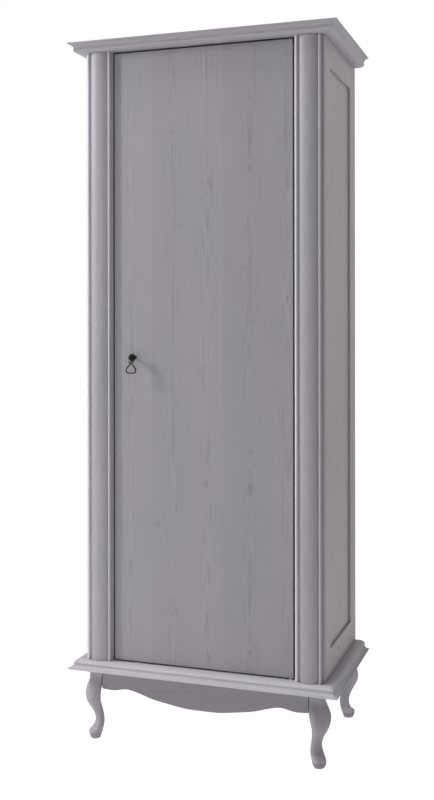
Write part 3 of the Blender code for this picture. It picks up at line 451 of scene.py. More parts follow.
def dressed(node, surface, edge, angle=50.0, smooth_angle=35.0):
    """A CAD node's own shape with its edges rounded, in its finish."""
    piece = cad_copy(node)
    if edge:
        round_edges(piece, edge, angle=angle, smooth_angle=smooth_angle)
    else:
        smooth_shade(piece, smooth_angle)
    return finish(piece, surface, BODY_OF[node], node)


# Node helpers

def add_node(tree, kind, **settings):
    node = tree.nodes.new(kind)
    for name, value in settings.items():
        setattr(node, name, value)
    return node


def feed(tree, source, socket):
    """Links an output to an input, or sets the input's value where the source is a plain number."""
    if isinstance(source, bpy.types.NodeSocket):
        tree.links.new(source, socket)
    else:
        socket.default_value = source


def maths(tree, operation, *terms, clamp=False):
    node = add_node(tree, "ShaderNodeMath", operation=operation, use_clamp=clamp)
    for socket, term in zip(node.inputs, terms):
        feed(tree, term, socket)
    return node.outputs[0]


def within(tree, value, start, end):
    """1 where a value lies between two others, and 0 elsewhere."""
    above = maths(tree, "GREATER_THAN", value, start)
    return maths(tree, "MULTIPLY", above, maths(tree, "LESS_THAN", value, end))


def bell(tree, value, width):
    """1 where a value is zero, falling away on both sides over about the width."""
    share = maths(tree, "DIVIDE", value, width)
    return maths(tree, "POWER", math.e, maths(tree, "MULTIPLY", maths(tree, "MULTIPLY", share, share), -1.0))


def vector_maths(tree, operation, *terms, result="Vector"):
    node = add_node(tree, "ShaderNodeVectorMath", operation=operation)
    for socket, term in zip(node.inputs, terms):
        feed(tree, term, socket)
    return node.outputs[result]


def vector_of(tree, x, y, z):
    node = add_node(tree, "ShaderNodeCombineXYZ")
    for socket, part in zip(node.inputs, (x, y, z)):
        feed(tree, part, socket)
    return node.outputs[0]


def parts_of(tree, vector):
    node = add_node(tree, "ShaderNodeSeparateXYZ")
    feed(tree, vector, node.inputs[0])
    return node.outputs


def scaled(tree, colour, tone):
    """A colour made lighter or darker by a tone about 1."""
    node = add_node(tree, "ShaderNodeVectorMath", operation="SCALE")
    feed(tree, colour, node.inputs[0])
    feed(tree, tone, node.inputs["Scale"])
    return node.outputs[0]


def noise(tree, vector, scale, detail=2.0, roughness=0.5):
    """Smooth noise about zero, from about -0.5 to 0.5."""
    node = add_node(tree, "ShaderNodeTexNoise")
    feed(tree, vector, node.inputs["Vector"])
    node.inputs["Scale"].default_value = scale
    node.inputs["Detail"].default_value = detail
    node.inputs["Roughness"].default_value = roughness
    return maths(tree, "SUBTRACT", node.outputs["Fac"], 0.5)


def blend_colours(tree, share, first, second):
    node = add_node(tree, "ShaderNodeMix", data_type="RGBA", blend_type="MIX")
    feed(tree, share, node.inputs["Factor"])
    for socket, colour in ((node.inputs["A"], first), (node.inputs["B"], second)):
        feed(tree, colour if isinstance(colour, bpy.types.NodeSocket) else (*colour, 1.0), socket)
    return node.outputs["Result"]


def ramp(tree, share, stops, interpolation="EASE"):
    """A value that runs through (place, height) stops."""
    node = add_node(tree, "ShaderNodeValToRGB")
    node.color_ramp.interpolation = interpolation
    while len(node.color_ramp.elements) < len(stops):
        node.color_ramp.elements.new(0.5)
    for element, (place, height) in zip(node.color_ramp.elements, stops):
        element.position = place
        element.color = (height, height, height, 1.0)
    feed(tree, share, node.inputs["Fac"])
    return node.outputs["Color"]


def new_group(name, inputs, outputs):
    """An empty shader node group. Inputs and outputs are (name, socket type), inputs with a value too."""
    group = bpy.data.node_groups.new(name, "ShaderNodeTree")
    for label, kind, value in inputs:
        socket = group.interface.new_socket(label, in_out="INPUT", socket_type=f"NodeSocket{kind}")
        if value is not None:
            socket.default_value = value
    for label, kind in outputs:
        group.interface.new_socket(label, in_out="OUTPUT", socket_type=f"NodeSocket{kind}")
    return group, add_node(group, "NodeGroupInput").outputs, add_node(group, "NodeGroupOutput").inputs


def use_group(tree, group, **values):
    node = add_node(tree, "ShaderNodeGroup")
    node.node_tree = group
    for name, value in values.items():
        feed(tree, value, node.inputs[name.replace("_", " ")])
    return node.outputs


def add_bump(tree, shader, height, strength, distance):
    bump = add_node(tree, "ShaderNodeBump")
    bump.inputs["Strength"].default_value = strength
    bump.inputs["Distance"].default_value = distance
    feed(tree, height, bump.inputs["Height"])
    feed(tree, bump.outputs[0], shader.inputs["Normal"])


def new_material(name):
    material = bpy.data.materials.new(name)
    material.use_nodes = True
    return material, material.node_tree, material.node_tree.nodes["Principled BSDF"]


# Wood

def knot_mark():
    """One knot at a place on a board: its dark heart, and how far it pushes the rings aside."""
    group, given, result = new_group(
        "Knot mark",
        (
            ("Board", "Vector", None),
            ("Across", "Float", 0.0),
            ("Along", "Float", 0.0),
            ("Size", "Float", 0.004),
        ),
        (("Heart", "Float"), ("Push", "Float")),
    )
    across, _, along = parts_of(group, given["Board"])
    aside = maths(group, "SUBTRACT", across, given["Across"])
    rise = maths(group, "MULTIPLY", maths(group, "SUBTRACT", along, given["Along"]), 0.80)
    away = vector_maths(group, "LENGTH", vector_of(group, aside, rise, 0.0), result="Value")
    uneven = noise(group, given["Board"], 160.0, 1.0)
    share = maths(group, "DIVIDE", maths(group, "MULTIPLY_ADD", uneven, 0.002, away), given["Size"])
    heart = ramp(group, maths(group, "MULTIPLY", share, 0.4), ((0.12, 1.0), (0.34, 0.55), (0.85, 0.0)))
    feed(group, heart, result["Heart"])
    feed(group, maths(group, "MULTIPLY", bell(group, share, 10 / 3), given["Size"]), result["Push"])
    return group


def scattered_knots(mark):
    """At most one small knot in each length of a board, near its pith."""
    group, given, result = new_group(
        "Scattered knots",
        (
            ("Board", "Vector", None),
            ("Pith", "Float", 0.0),
            ("Amount", "Float", 0.3),
            ("Seed", "Float", 0.0),
        ),
        (("Heart", "Float"), ("Push", "Float")),
    )
    along = parts_of(group, given["Board"])[2]
    row = maths(group, "FLOOR", maths(group, "DIVIDE", along, KNOT_SPACING))
    dice = add_node(group, "ShaderNodeTexWhiteNoise", noise_dimensions="2D")
    feed(group, vector_of(group, row, given["Seed"], 0.0), dice.inputs["Vector"])
    rolls = add_node(group, "ShaderNodeSeparateColor")
    feed(group, dice.outputs["Color"], rolls.inputs[0])
    roll_height, roll_side, roll_size = rolls.outputs
    place = maths(group, "MULTIPLY_ADD", roll_height, 0.5, maths(group, "ADD", row, 0.25))
    side = maths(group, "MULTIPLY_ADD", maths(group, "SUBTRACT", roll_side, 0.5), 0.024, given["Pith"])
    size = maths(group, "MULTIPLY_ADD", roll_side, 0.0030, 0.0018)
    present = maths(group, "LESS_THAN", roll_size, given["Amount"])
    marked = use_group(group, mark, Board=given["Board"], Across=side,
                       Along=maths(group, "MULTIPLY", place, KNOT_SPACING), Size=size)
    for effect in ("Heart", "Push"):
        feed(group, maths(group, "MULTIPLY", marked[effect], present), result[effect])
    return group


def growth_rings():
    """Growth rings of a board cut from round a drifting pith, from board coordinates.

    Board coordinates are metres across the face, through the thickness and along the grain.
    """
    group, given, result = new_group(
        "Growth rings",
        (
            ("Board", "Vector", None),
            ("Pith", "Float", 0.0),
            ("Pith Depth", "Float", PITH_DEPTH),
            ("Ring Width", "Float", RING_WIDTH),
            ("Push", "Float", 0.0),
            ("Seed", "Float", 0.0),
        ),
        (("Late Wood", "Float"), ("Heart Line", "Float"), ("Figure", "Float")),
    )
    across, through, along = parts_of(group, given["Board"])
    seed = maths(group, "MULTIPLY", given["Seed"], 3.71)
    drift = noise(group, vector_of(group, seed, 0.0, along), 1.6, 1.0)
    deeper = noise(group, vector_of(group, 5.0, seed, along), 1.1, 1.0)
    depth = maths(group, "MULTIPLY_ADD", deeper, 0.045, given["Pith Depth"])
    wander = noise(group, vector_of(group, maths(group, "MULTIPLY_ADD", across, 11.0, seed),
                                    maths(group, "MULTIPLY", through, 11.0),
                                    maths(group, "MULTIPLY", along, 1.7)), 1.0, 2.0)
    from_pith = maths(group, "SUBTRACT", across, maths(group, "MULTIPLY_ADD", drift, 0.018, given["Pith"]))
    behind = maths(group, "ADD", through, depth)
    radius = vector_maths(group, "LENGTH", vector_of(group, from_pith, behind, 0.0), result="Value")
    radius = maths(group, "MULTIPLY_ADD", wander, 0.010, radius)
    radius = maths(group, "MULTIPLY_ADD", given["Push"], -0.5, radius)
    ring = maths(group, "FRACT", maths(group, "DIVIDE", radius, given["Ring Width"]))
    late = ramp(group, ring, ((0.0, 0.10), (0.12, 0.0), (0.55, 0.16), (0.86, 1.0), (0.96, 0.85), (1.0, 0.10)),
                interpolation="LINEAR")
    broken = noise(group, vector_of(group, seed, 3.0, along), 7.0, 2.0)
    line = maths(group, "MULTIPLY", bell(group, from_pith, 0.0030),
                 maths(group, "MULTIPLY_ADD", broken, 3.0, 0.35, clamp=True))
    patchy = noise(group, vector_of(group, maths(group, "MULTIPLY_ADD", across, 45.0, seed), 7.0,
                                    maths(group, "MULTIPLY", along, 6.0)), 1.0, 2.0)
    figure = maths(group, "MULTIPLY", bell(group, from_pith, 0.027),
                   maths(group, "MULTIPLY_ADD", patchy, 4.0, 0.55, clamp=True))
    feed(group, late, result["Late Wood"])
    feed(group, line, result["Heart Line"])
    feed(group, figure, result["Figure"])
    return group


def stain_and_fibre():
    """Fine fibre lines and cloudy unevenness of the stain, from board coordinates."""
    group, given, result = new_group(
        "Stain and fibre", (("Board", "Vector", None), ("Seed", "Float", 0.0)),
        (("Fibre", "Float"), ("Dash", "Float"), ("Streak", "Float"), ("Cloud", "Float"), ("Hue", "Float")),
    )
    moved = vector_maths(group, "ADD", given["Board"], vector_of(group, given["Seed"], 0.0, given["Seed"]))
    for effect, scale, detail, roughness in (
        ("Fibre", (900.0, 900.0, 14.0), 2.0, 0.6),
        ("Dash", (190.0, 190.0, 11.0), 1.0, 0.5),
        ("Streak", (110.0, 110.0, 1.6), 3.0, 0.6),
        ("Cloud", (7.0, 7.0, 2.6), 2.0, 0.5),
        ("Hue", (3.2, 3.2, 1.8), 1.0, 0.5),
    ):
        stretched = vector_maths(group, "MULTIPLY", moved, scale)
        feed(group, noise(group, stretched, 1.0, detail, roughness), result[effect])
    return group


KNOT = knot_mark()
SCATTERED = scattered_knots(KNOT)
RINGS = growth_rings()
STAIN = stain_and_fibre()
PINE_SEEDS = iter(range(1, 200))


def stained_pine(name, along, through, centre, boards=ONE_BOARD, depth=PITH_DEPTH, knots=0.0, placed=(),
                 rings=0.45, tone=1.0, rosy=0.0, relief=0.16, beads=(), bands=(), slot="stained_pine"):
    """A pine finish whose grain runs along one axis. Boards are (left seam, pith, shade), across the face.

    Knots is the share of the board's lengths that hold a small knot, placed lists larger ones, tone is how
    light the piece is, from its stain and, for some parts, from painted light and shade, and relief how deep
    the grain is. Beads are (start, end, left tone, right tone) of strips lightened as a painted highlight on
    the beads, bands are (start, end, tone) of strips across the grain made lighter or darker as painted light
    and shade, and rosy mixes in a pink tint painted for the light falling on the sides.
    """
    material, tree, shader = new_material(f"stained pine, {name}")
    along, through = AXES[along], AXES[through]
    turn = Matrix((through.cross(along), through, along))
    place = add_node(tree, "ShaderNodeMapping", vector_type="POINT")
    place.inputs["Rotation"].default_value = turn.to_euler()
    place.inputs["Location"].default_value = -(turn @ Vector(centre))
    feed(tree, add_node(tree, "ShaderNodeTexCoord").outputs["Object"], place.inputs["Vector"])
    board = place.outputs[0]
    across, _, along_board = parts_of(tree, board)
    seed = float(next(PINE_SEEDS))
    _, pith, shade = boards[0]
    for before, after in zip(boards, boards[1:]):
        past = maths(tree, "GREATER_THAN", across, after[0])
        pith = maths(tree, "MULTIPLY_ADD", past, after[1] - before[1], pith)
        shade = maths(tree, "MULTIPLY_ADD", past, after[2] - before[2], shade)
        seed = maths(tree, "MULTIPLY_ADD", past, 1.37, seed)

    heart, push = 0.0, 0.0
    marks = [use_group(tree, SCATTERED, Board=board, Pith=pith, Amount=knots, Seed=seed)] if knots else []
    marks += [use_group(tree, KNOT, Board=board, Across=x, Along=z, Size=size) for x, z, size in placed]
    for mark in marks:
        heart = maths(tree, "MAXIMUM", mark["Heart"], heart)
        push = maths(tree, "ADD", mark["Push"], push)
    grown = use_group(tree, RINGS, Board=board, Pith=pith, Pith_Depth=depth, Push=push, Seed=seed)
    stain = use_group(tree, STAIN, Board=board, Seed=seed)

    figure = grown["Figure"]
    late = maths(tree, "MULTIPLY", grown["Late Wood"], maths(tree, "MULTIPLY_ADD", stain["Streak"], 1.6, 0.6))
    shown = maths(tree, "MULTIPLY", late, maths(tree, "MULTIPLY_ADD", figure, 1.5, 0.14))
    colour = blend_colours(tree, maths(tree, "MULTIPLY_ADD", stain["Hue"], 3.0, 0.5, clamp=True),
                           EARLY_WOOD, COOL_WOOD)
    # Pink tint painted for the light falling on the sides
    if rosy:
        colour = blend_colours(tree, rosy, colour, ROSY_LIGHT_TINT)
    colour = blend_colours(tree, maths(tree, "MULTIPLY", shown, rings, clamp=True), colour, LATE_WOOD)
    colour = blend_colours(tree, maths(tree, "MULTIPLY", grown["Heart Line"], PITH_LINE_DARKENING), colour,
                           KNOT_WOOD)
    colour = blend_colours(tree, maths(tree, "MULTIPLY", heart, KNOT_DARKENING), colour, KNOT_WOOD)
    for effect, strength in (("Cloud", CLOUDS), ("Fibre", FIBRES), ("Streak", STREAKS)):
        shade = maths(tree, "MULTIPLY_ADD", stain[effect], strength, shade)
    shade = maths(tree, "MULTIPLY_ADD", maths(tree, "MULTIPLY", shown, rings), -LATE_DARKENING, shade)
    shade = maths(tree, "MULTIPLY_ADD", maths(tree, "MULTIPLY", figure, rings), LATE_DARKENING / 4, shade)
    dashes = maths(tree, "MULTIPLY", stain["Dash"], maths(tree, "MULTIPLY_ADD", figure, rings * DASHES, 0.03))
    shade = maths(tree, "ADD", dashes, shade)
    shade = maths(tree, "MULTIPLY", shade, tone)
    strips = [(along_board, start, end, strip_tone) for start, end, strip_tone in bands]
    if beads:
        start, end, left_tone, right_tone = beads
        strips += [(across, -end, -start, left_tone), (across, start, end, right_tone)]
    for way, start, end, strip_tone in strips:
        strip = within(tree, way, start, end)
        shade = maths(tree, "MULTIPLY", shade, maths(tree, "MULTIPLY_ADD", strip, strip_tone - 1.0, 1.0))
    feed(tree, scaled(tree, colour, shade), shader.inputs["Base Color"])
    shader.inputs["Specular IOR Level"].default_value = WOOD_SPECULAR
    rough = maths(tree, "MULTIPLY_ADD", late, -0.06, WOOD_ROUGHNESS)
    feed(tree, maths(tree, "MULTIPLY_ADD", stain["Fibre"], 0.12, rough), shader.inputs["Roughness"])
    raised = maths(tree, "MULTIPLY", late, maths(tree, "MULTIPLY_ADD", figure, 0.9, 0.1))
    height = maths(tree, "MULTIPLY_ADD", stain["Fibre"], 0.25, raised)
    add_bump(tree, shader, height, relief, GRAIN_HEIGHT)
    return material, slot


def pine_for(node, along, through, **options):
    """The node's own pine, with its pattern placed from the board's middle."""
    return stained_pine(node, along, through, middle(node), **options)


# Metal and plastic

def uneven_surface():
    """Fine and broad unevenness of a metal or moulded surface, about zero."""
    group, given, result = new_group(
        "Uneven surface", (("Place", "Vector", None), ("Grain", "Float", 500.0)),
        (("Fine", "Float"), ("Broad", "Float")),
    )
    fine = vector_maths(group, "MULTIPLY", given["Place"], vector_of(group, *[given["Grain"]] * 3))
    feed(group, noise(group, fine, 1.0, 4.0, 0.6), result["Fine"])
    feed(group, noise(group, fine, 0.11, 2.0), result["Broad"])
    return group


UNEVEN = uneven_surface()


def worn_surface(name, slot, colour, roughness, grain, metallic=1.0, spread=0.3, relief=0.0):
    """A metal or plastic with uneven colour and gloss, and a fine relief."""
    material, tree, shader = new_material(name)
    place = add_node(tree, "ShaderNodeTexCoord").outputs["Object"]
    uneven = use_group(tree, UNEVEN, Place=place, Grain=grain)
    tone = maths(tree, "MULTIPLY_ADD", uneven["Fine"], spread, 1.0)
    tone = maths(tree, "MULTIPLY_ADD", uneven["Broad"], spread, tone)
    base = add_node(tree, "ShaderNodeRGB")
    base.outputs[0].default_value = (*colour, 1.0)
    feed(tree, scaled(tree, base.outputs[0], tone), shader.inputs["Base Color"])
    feed(tree, maths(tree, "MULTIPLY_ADD", uneven["Fine"], 0.22, roughness), shader.inputs["Roughness"])
    shader.inputs["Metallic"].default_value = metallic
    if relief:
        add_bump(tree, shader, uneven["Fine"], 0.4, relief)
    return material, slot


IRON = worn_surface("blackened iron", "blackened_iron", (0.018, 0.017, 0.016), 0.46, 900.0, metallic=0.75,
                    relief=0.0002)
ZINC = worn_surface("zinc-plated steel", "zinc_steel", (0.55, 0.56, 0.58), 0.35, 500.0)
NICKEL = worn_surface("nickel plate", "nickel_plate", (0.62, 0.60, 0.56), 0.25, 500.0)
CHROME = worn_surface("chromed tube", "chromed_tube", (0.75, 0.75, 0.76), 0.12, 300.0, spread=0.05)
FERRITE = worn_surface("ground ferrite", "magnet", (0.08, 0.08, 0.085), 0.55, 700.0, metallic=0.4)
PLASTIC = worn_surface("grey plastic", "grey_plastic", (0.22, 0.21, 0.20), 0.50, 800.0, metallic=0.0,
                       relief=0.0001)


# Studio

def soft_panel(name, place, aim_height, width, height, watts):
    """A softbox at a place, turned to a height on the middle of the wardrobe's front."""
    lamp = bpy.data.lights.new(name, "AREA")
    lamp.shape = "RECTANGLE"
    lamp.size = width
    lamp.size_y = height
    lamp.energy = watts
    box = bpy.data.objects.new(name, lamp)
    bpy.context.scene.collection.objects.link(box)
    box.location = place
    aim = Vector((0.0, FRONT, aim_height))
    box.rotation_euler = (aim - Vector(place)).to_track_quat("-Z", "Y").to_euler()
    return box


def set_camera():
    camera = bpy.data.cameras.new("camera")
    camera.sensor_fit = "VERTICAL"
    camera.sensor_height = SENSOR
    camera.lens = LENS
    camera.shift_y = LENS_SHIFT
    camera.clip_end = 60.0
    holder = bpy.data.objects.new("camera", camera)
    bpy.context.scene.collection.objects.link(holder)
    right = Vector((math.cos(CAMERA_TURN), math.sin(CAMERA_TURN), 0.0))
    ahead = Vector((-math.sin(CAMERA_TURN), math.cos(CAMERA_TURN), 0.0))
    axes = Matrix((right, AXES["Z"], -ahead)).transposed().to_4x4()
    place = CAMERA_FROM_FRONT + Vector((0.0, FRONT, 0.0))
    holder.matrix_world = Matrix.Translation(place) @ axes @ Matrix.Rotation(CAMERA_ROLL, 4, "Z")
    bpy.context.scene.camera = holder


def set_world():
    """White behind the object and in its reflections, and a soft studio's level for all other light."""
    world = bpy.data.worlds.new("studio")
    bpy.context.scene.world = world
    world.use_nodes = True
    tree = world.node_tree
    background = tree.nodes["Background"]
    path = add_node(tree, "ShaderNodeLightPath")
    seen = maths(tree, "MAXIMUM", path.outputs["Is Camera Ray"], path.outputs["Is Glossy Ray"])
    seen = maths(tree, "MAXIMUM", seen, path.outputs["Is Transmission Ray"])
    x, y, z = parts_of(tree, add_node(tree, "ShaderNodeTexCoord").outputs["Generated"])
    level = 0.0
    for part, way, strength in zip((x, x, y, y, z), (1, -1, 1, -1, 1), SKY):
        towards = maths(tree, "MAXIMUM", maths(tree, "MULTIPLY", part, way), 0.0)
        level = maths(tree, "MULTIPLY_ADD", towards, strength, level)
    level = maths(tree, "MULTIPLY", level, maths(tree, "SUBTRACT", 1.0, seen))
    background.inputs["Color"].default_value = (1.0, 1.0, 1.0, 1.0)
    feed(tree, maths(tree, "MULTIPLY_ADD", seen, MIRRORED, level), background.inputs["Strength"])


def set_floor():
    deselect_all()
    bpy.ops.mesh.primitive_plane_add(size=40.0, location=(0.0, 0.0, 0.0))
    floor = bpy.context.active_object
    floor.name = "floor"
    material, tree, shader = new_material("pale floor")
    shader.inputs["Roughness"].default_value = 0.9
    camera_ray = add_node(tree, "ShaderNodeLightPath").outputs["Is Camera Ray"]
    feed(tree, blend_colours(tree, camera_ray, FLOOR_COLOUR, FLOOR_SEEN), shader.inputs["Base Color"])
    shader.inputs["Emission Color"].default_value = (1.0, 1.0, 1.0, 1.0)
    feed(tree, maths(tree, "MULTIPLY_ADD", camera_ray, FLOOR_WHITE - FLOOR_GLOW, FLOOR_GLOW),
         shader.inputs["Emission Strength"])
    floor.data.materials.append(material)


# Mouldings and pilasters

def moulding_section(cove_rise):
    """The cornice's section as (outward, up) points, from the carcass along the soffit and up to the top."""
    cove_start = SOFFIT_WIDTH + OVOLO_REACH - QUIRK
    cove_bottom = OVOLO_RISE + QUIRK
    reach = cove_start + COVE_REACH + LIP
    cove_top = cove_bottom + cove_rise
    section = [(SEAT, 0.0)]
    section += arc((SOFFIT_WIDTH, OVOLO_RISE), OVOLO_REACH, OVOLO_RISE, -90, 0, 16)
    section += [(cove_start, OVOLO_RISE)]
    section += arc((cove_start + COVE_REACH, cove_bottom), COVE_REACH, cove_rise, 180, 90, 16)
    section += [(reach, cove_top), (reach, cove_top + FILLET), (SEAT, cove_top + FILLET)]
    return section


def moulding(node, section, height, start, end, outward, mitres, surface):
    """A length of moulding from start to end, drawn out too long and cut to its mitres."""
    start, end, outward = (Vector((*point, 0.0)) for point in (start, end, outward))
    along = (end - start).normalized()
    reach = max(out for out, up in section) + 0.01
    first = start - along * (reach if mitres[0] else 0.0)
    last = end + along * (reach if mitres[1] else 0.0)
    points = [first + outward * out + AXES["Z"] * (height + up) for out, up in section]
    piece = extruded_outline(f"{node}.run", points, last - first)
    for corner, way, mitred in ((start, -1, mitres[0]), (end, 1, mitres[1])):
        if not mitred:
            continue
        normal = (along * way - outward).normalized()
        bpy.ops.mesh.select_all(action="SELECT")
        bpy.ops.mesh.bisect(
            plane_co=corner - normal * SEAT / 2, plane_no=normal, use_fill=True, clear_outer=True
        )
    close_mesh()
    round_edges(piece, 0.0006, segments=2, angle=40.0, smooth_angle=30.0)
    return finish(piece, surface, "carcass", node)


def make_mouldings():
    cornice = moulding_section(CORNICE_COVE_RISE)
    base = moulding_section(BASE_COVE_RISE)
    base_height = max(up for out, up in base)
    base = [(out, base_height - up) for out, up in base]
    left_front, right_front = (-HALF_WIDTH, FRONT), (HALF_WIDTH, FRONT)
    left_rear, right_rear = (-HALF_WIDTH, BACK), (HALF_WIDTH, BACK)
    runs = (
        ("front", left_front, right_front, (0, -1), (True, True), "X", "Y"),
        ("left", left_rear, left_front, (-1, 0), (False, True), "Y", "X"),
        ("right", right_front, right_rear, (1, 0), (True, False), "Y", "X"),
    )
    # The base moulding's tone paints light from above on it
    kinds = (("cornice", cornice, SOFFIT, CORNICE_TONE), ("base_moulding", base, BASE_FOOT, BASE_TOP_LIGHT_TONE))
    for kind, section, height, front_tone in kinds:
        for side, start, end, outward, mitres, grain, through in runs:
            node = f"{kind}_{side}"
            # Cornice side runs carry painted light and base moulding side runs painted shade, on top of the
            # front run's tone
            tone = front_tone * (1.0 if side == "front" else SIDE_RUN_LIGHT_AND_SHADE[kind])
            pine = pine_for(node, grain, through, rings=0.25, tone=tone, relief=0.06)
            moulding(node, section, height, start, end, outward, mitres, pine)


def pilaster_section(half_width):
    """A pilaster's section as (across, stand) points: bead, flute, rounded shaft, flute and bead."""
    bead_radius = BEAD_WIDTH / 2
    bead_middle = half_width - bead_radius
    flute_outer = half_width - BEAD_WIDTH
    flute_floor = SHAFT_EDGE - FLUTE_STEP
    shaft_half = flute_outer - FLUTE_WIDTH
    radius = (shaft_half**2 + SHAFT_RISE**2) / (2 * SHAFT_RISE)
    half_angle = math.degrees(math.asin(shaft_half / radius))
    half = arc((0.0, SHAFT_EDGE + SHAFT_RISE - radius), radius, radius, 90, 90 - half_angle, 18)
    half += [(shaft_half, flute_floor), (flute_outer, flute_floor)]
    half += arc((bead_middle, BEAD_STAND - bead_radius), bead_radius, bead_radius, 180, 0, 14)
    half += [(half_width, SEAT)]
    return [(-across, stand) for across, stand in reversed(half[1:])] + half


def make_pilaster(side):
    node = f"pilaster_{side}"
    low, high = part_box(node)
    centre, half_width = (low.x + high.x) / 2, (high.x - low.x) / 2
    points = [(centre + across, FRONT - stand, low.z) for across, stand in pilaster_section(half_width)]
    piece = extruded_outline(f"{node}.run", points, (0.0, 0.0, high.z - low.z))
    leave_edit()
    round_edges(piece, 0.0004, segments=2, angle=45.0, smooth_angle=30.0)
    # Painted highlights on both beads and the flute edges beside them, brightest towards the key light
    beads = (half_width - BEAD_WIDTH - FLUTE_WIDTH / 3, half_width, *BEAD_HIGHLIGHT_TONES[side])
    # The right pilaster's tone paints shade away from the key light
    pine = pine_for(node, "Z", "Y", rings=0.2, tone=PILASTER_SHADE_TONES[side], relief=0.04, beads=beads)
    finish(piece, pine, "carcass", node)


# Legs

def make_leg(corner):
    """The CAD leg with its lofted faces made smooth, and crisp edges kept round the toe and the block."""
    node = f"leg_{corner}"
    piece = cad_copy(node)
    edit(piece, mode="EDGE")
    bpy.ops.mesh.tris_convert_to_quads(face_threshold=math.radians(60), shape_threshold=math.radians(60))
    bpy.ops.mesh.select_all(action="DESELECT")
    bpy.ops.mesh.edges_select_sharp(sharpness=math.radians(34))
    bpy.ops.transform.edge_crease(value=1.0)
    leave_edit()
    with_modifier(piece, "SUBSURF", levels=1, render_levels=1)
    smooth_shade(piece, 32.0)
    height = middle(node).z
    # Bands of painted shade on the foot's pad and painted light on the toe's top
    bands = [(start - height, end - height, tone) for start, end, tone in TOE_LIGHT_AND_SHADE_BANDS]
    # The leg's tone paints shade on the front right leg and light on the rear right leg
    pine = pine_for(node, "Z", "Y", rings=0.3, tone=LEG_LIGHT_AND_SHADE_TONES[corner], relief=0.08, bands=bands)
    finish(piece, pine, "carcass", node)


# Pull

def make_knob():
    """The turned knob with its rolled rim and dish, and the two cheeks that hold the pendant's pin."""
    rim = (KNOB_RADIUS - NECK_RADIUS) / 3
    head_back = KNOB_STAND - KNOB_HEAD_DEPTH
    head = (
        (KNOB_RADIUS - 2 * rim, KNOB_STAND - KNOB_DISH),
        (KNOB_RADIUS - rim, KNOB_STAND),
        (KNOB_RADIUS, KNOB_STAND - rim),
        (KNOB_RADIUS - rim / 2, KNOB_STAND - KNOB_HEAD_DEPTH / 2),
        (NECK_RADIUS + rim / 2, head_back + rim / 2),
        (NECK_RADIUS, head_back - rim),
    )
    profile = [(0.0, KNOB_STAND - KNOB_DISH)] + [tuple(point) for point in smooth(head, 8)]
    profile += [
        (NECK_RADIUS, ROSE_THICKNESS + rim / 2),
        (ROSE_RADIUS - rim / 3, ROSE_THICKNESS),
        (ROSE_RADIUS, ROSE_THICKNESS / 2),
        (ROSE_RADIUS, SEAT),
        (0.0, SEAT),
    ]
    knob = spun("pull_knob.turned", profile, PULL, (0, -1, 0))
    gap = PENDANT_EYE_THICKNESS / 2 + SEAT
    cheeks = []
    for side in (-1, 1):
        inner, outer = sorted((side * gap, side * (gap + CHEEK_THICKNESS)))
        cheek = new_block(
            f"cheek {side}",
            (PULL.x + inner, PENDANT.y - CHEEK_OVERHANG, PULL.z - CHEEK_HEIGHT / 2),
            (PULL.x + outer, PULL.y - KNOB_STAND + 2 * KNOB_DISH, PULL.z + CHEEK_HEIGHT / 2),
        )
        cheeks.append(round_edges(cheek, 0.0006, segments=3, angle=60.0))
    combine(knob, cheeks, "UNION")
    smooth_shade(knob, 35.0)
    finish(knob, IRON, "door", "pull_knob")


def make_pendant_pin():
    """The pin through the cheeks and the pendant's eye, with a domed head at each end."""
    half = PENDANT_EYE_THICKNESS / 2 + SEAT + CHEEK_THICKNESS + SEAT
    edge = PENDANT_PIN_HEAD_DEPTH * 0.3
    dome = arc((0.0, half + edge), PENDANT_PIN_HEAD, PENDANT_PIN_HEAD_DEPTH - edge, 90, 0, 6)
    right = dome + [(PENDANT_PIN_HEAD, half), (PENDANT_PIN_RADIUS, half)]
    profile = right + [(radius, -height) for radius, height in reversed(right)]
    pin = spun("pull_pin.turned", profile, PENDANT, (1, 0, 0), steps=32)
    smooth_shade(pin, 35.0)
    finish(pin, IRON, "door", "pull_pin")


def make_pendant():
    """The hanging pendant: an eye on the pin, a stem, a pear-shaped loop and two ears with rounded tips."""
    def at(across, down):
        return PENDANT + Vector((across, 0.0, -down))

    pear = ((0.0, 0.0), (0.45, 0.24), (0.92, 0.52), (1.0, 0.72), (0.84, 0.92), (0.45, 0.985), (0.0, 1.0))
    half = [(across * LOOP_HALF_WIDTH, PENDANT_STEM + down * LOOP_HEIGHT) for across, down in pear]
    outline = half + [(-across, down) for across, down in reversed(half[1:-1])]
    points = [at(*point) for point in outline]
    loop = round_wire("pull_pendant.forged", points, PENDANT_WIRE_RADIUS, closed=True, steps=8)
    eye = new_disc("eye", PENDANT, (1, 0, 0), PENDANT_EYE_RADIUS, PENDANT_EYE_THICKNESS, sides=40)
    round_edges(eye, 0.0004, segments=2, angle=60.0)
    stem = round_wire("stem", [at(0.0, down * PENDANT_STEM) for down in (0.15, 0.5, 1.05)],
                      PENDANT_EYE_THICKNESS / 2)
    parts = [eye, stem]
    for side in (-1, 1):
        points = [
            at(0.0, PENDANT_STEM + PENDANT_WIRE_RADIUS / 2),
            at(side * EAR_REACH * 0.55, PENDANT_STEM - EAR_RISE * 0.35),
            at(side * EAR_REACH, PENDANT_STEM - EAR_RISE),
        ]
        ear = round_wire(f"ear {side}", points, PENDANT_WIRE_RADIUS)
        parts.append(round_edges(ear, 0.0008, segments=3, angle=60.0))
    combine(loop, parts, "UNION")
    edit(loop)
    close_mesh(merge=PENDANT_MERGE)
    smooth_shade(loop, 40.0)
    finish(loop, IRON, "pendant", "pull_pendant")


# Inside

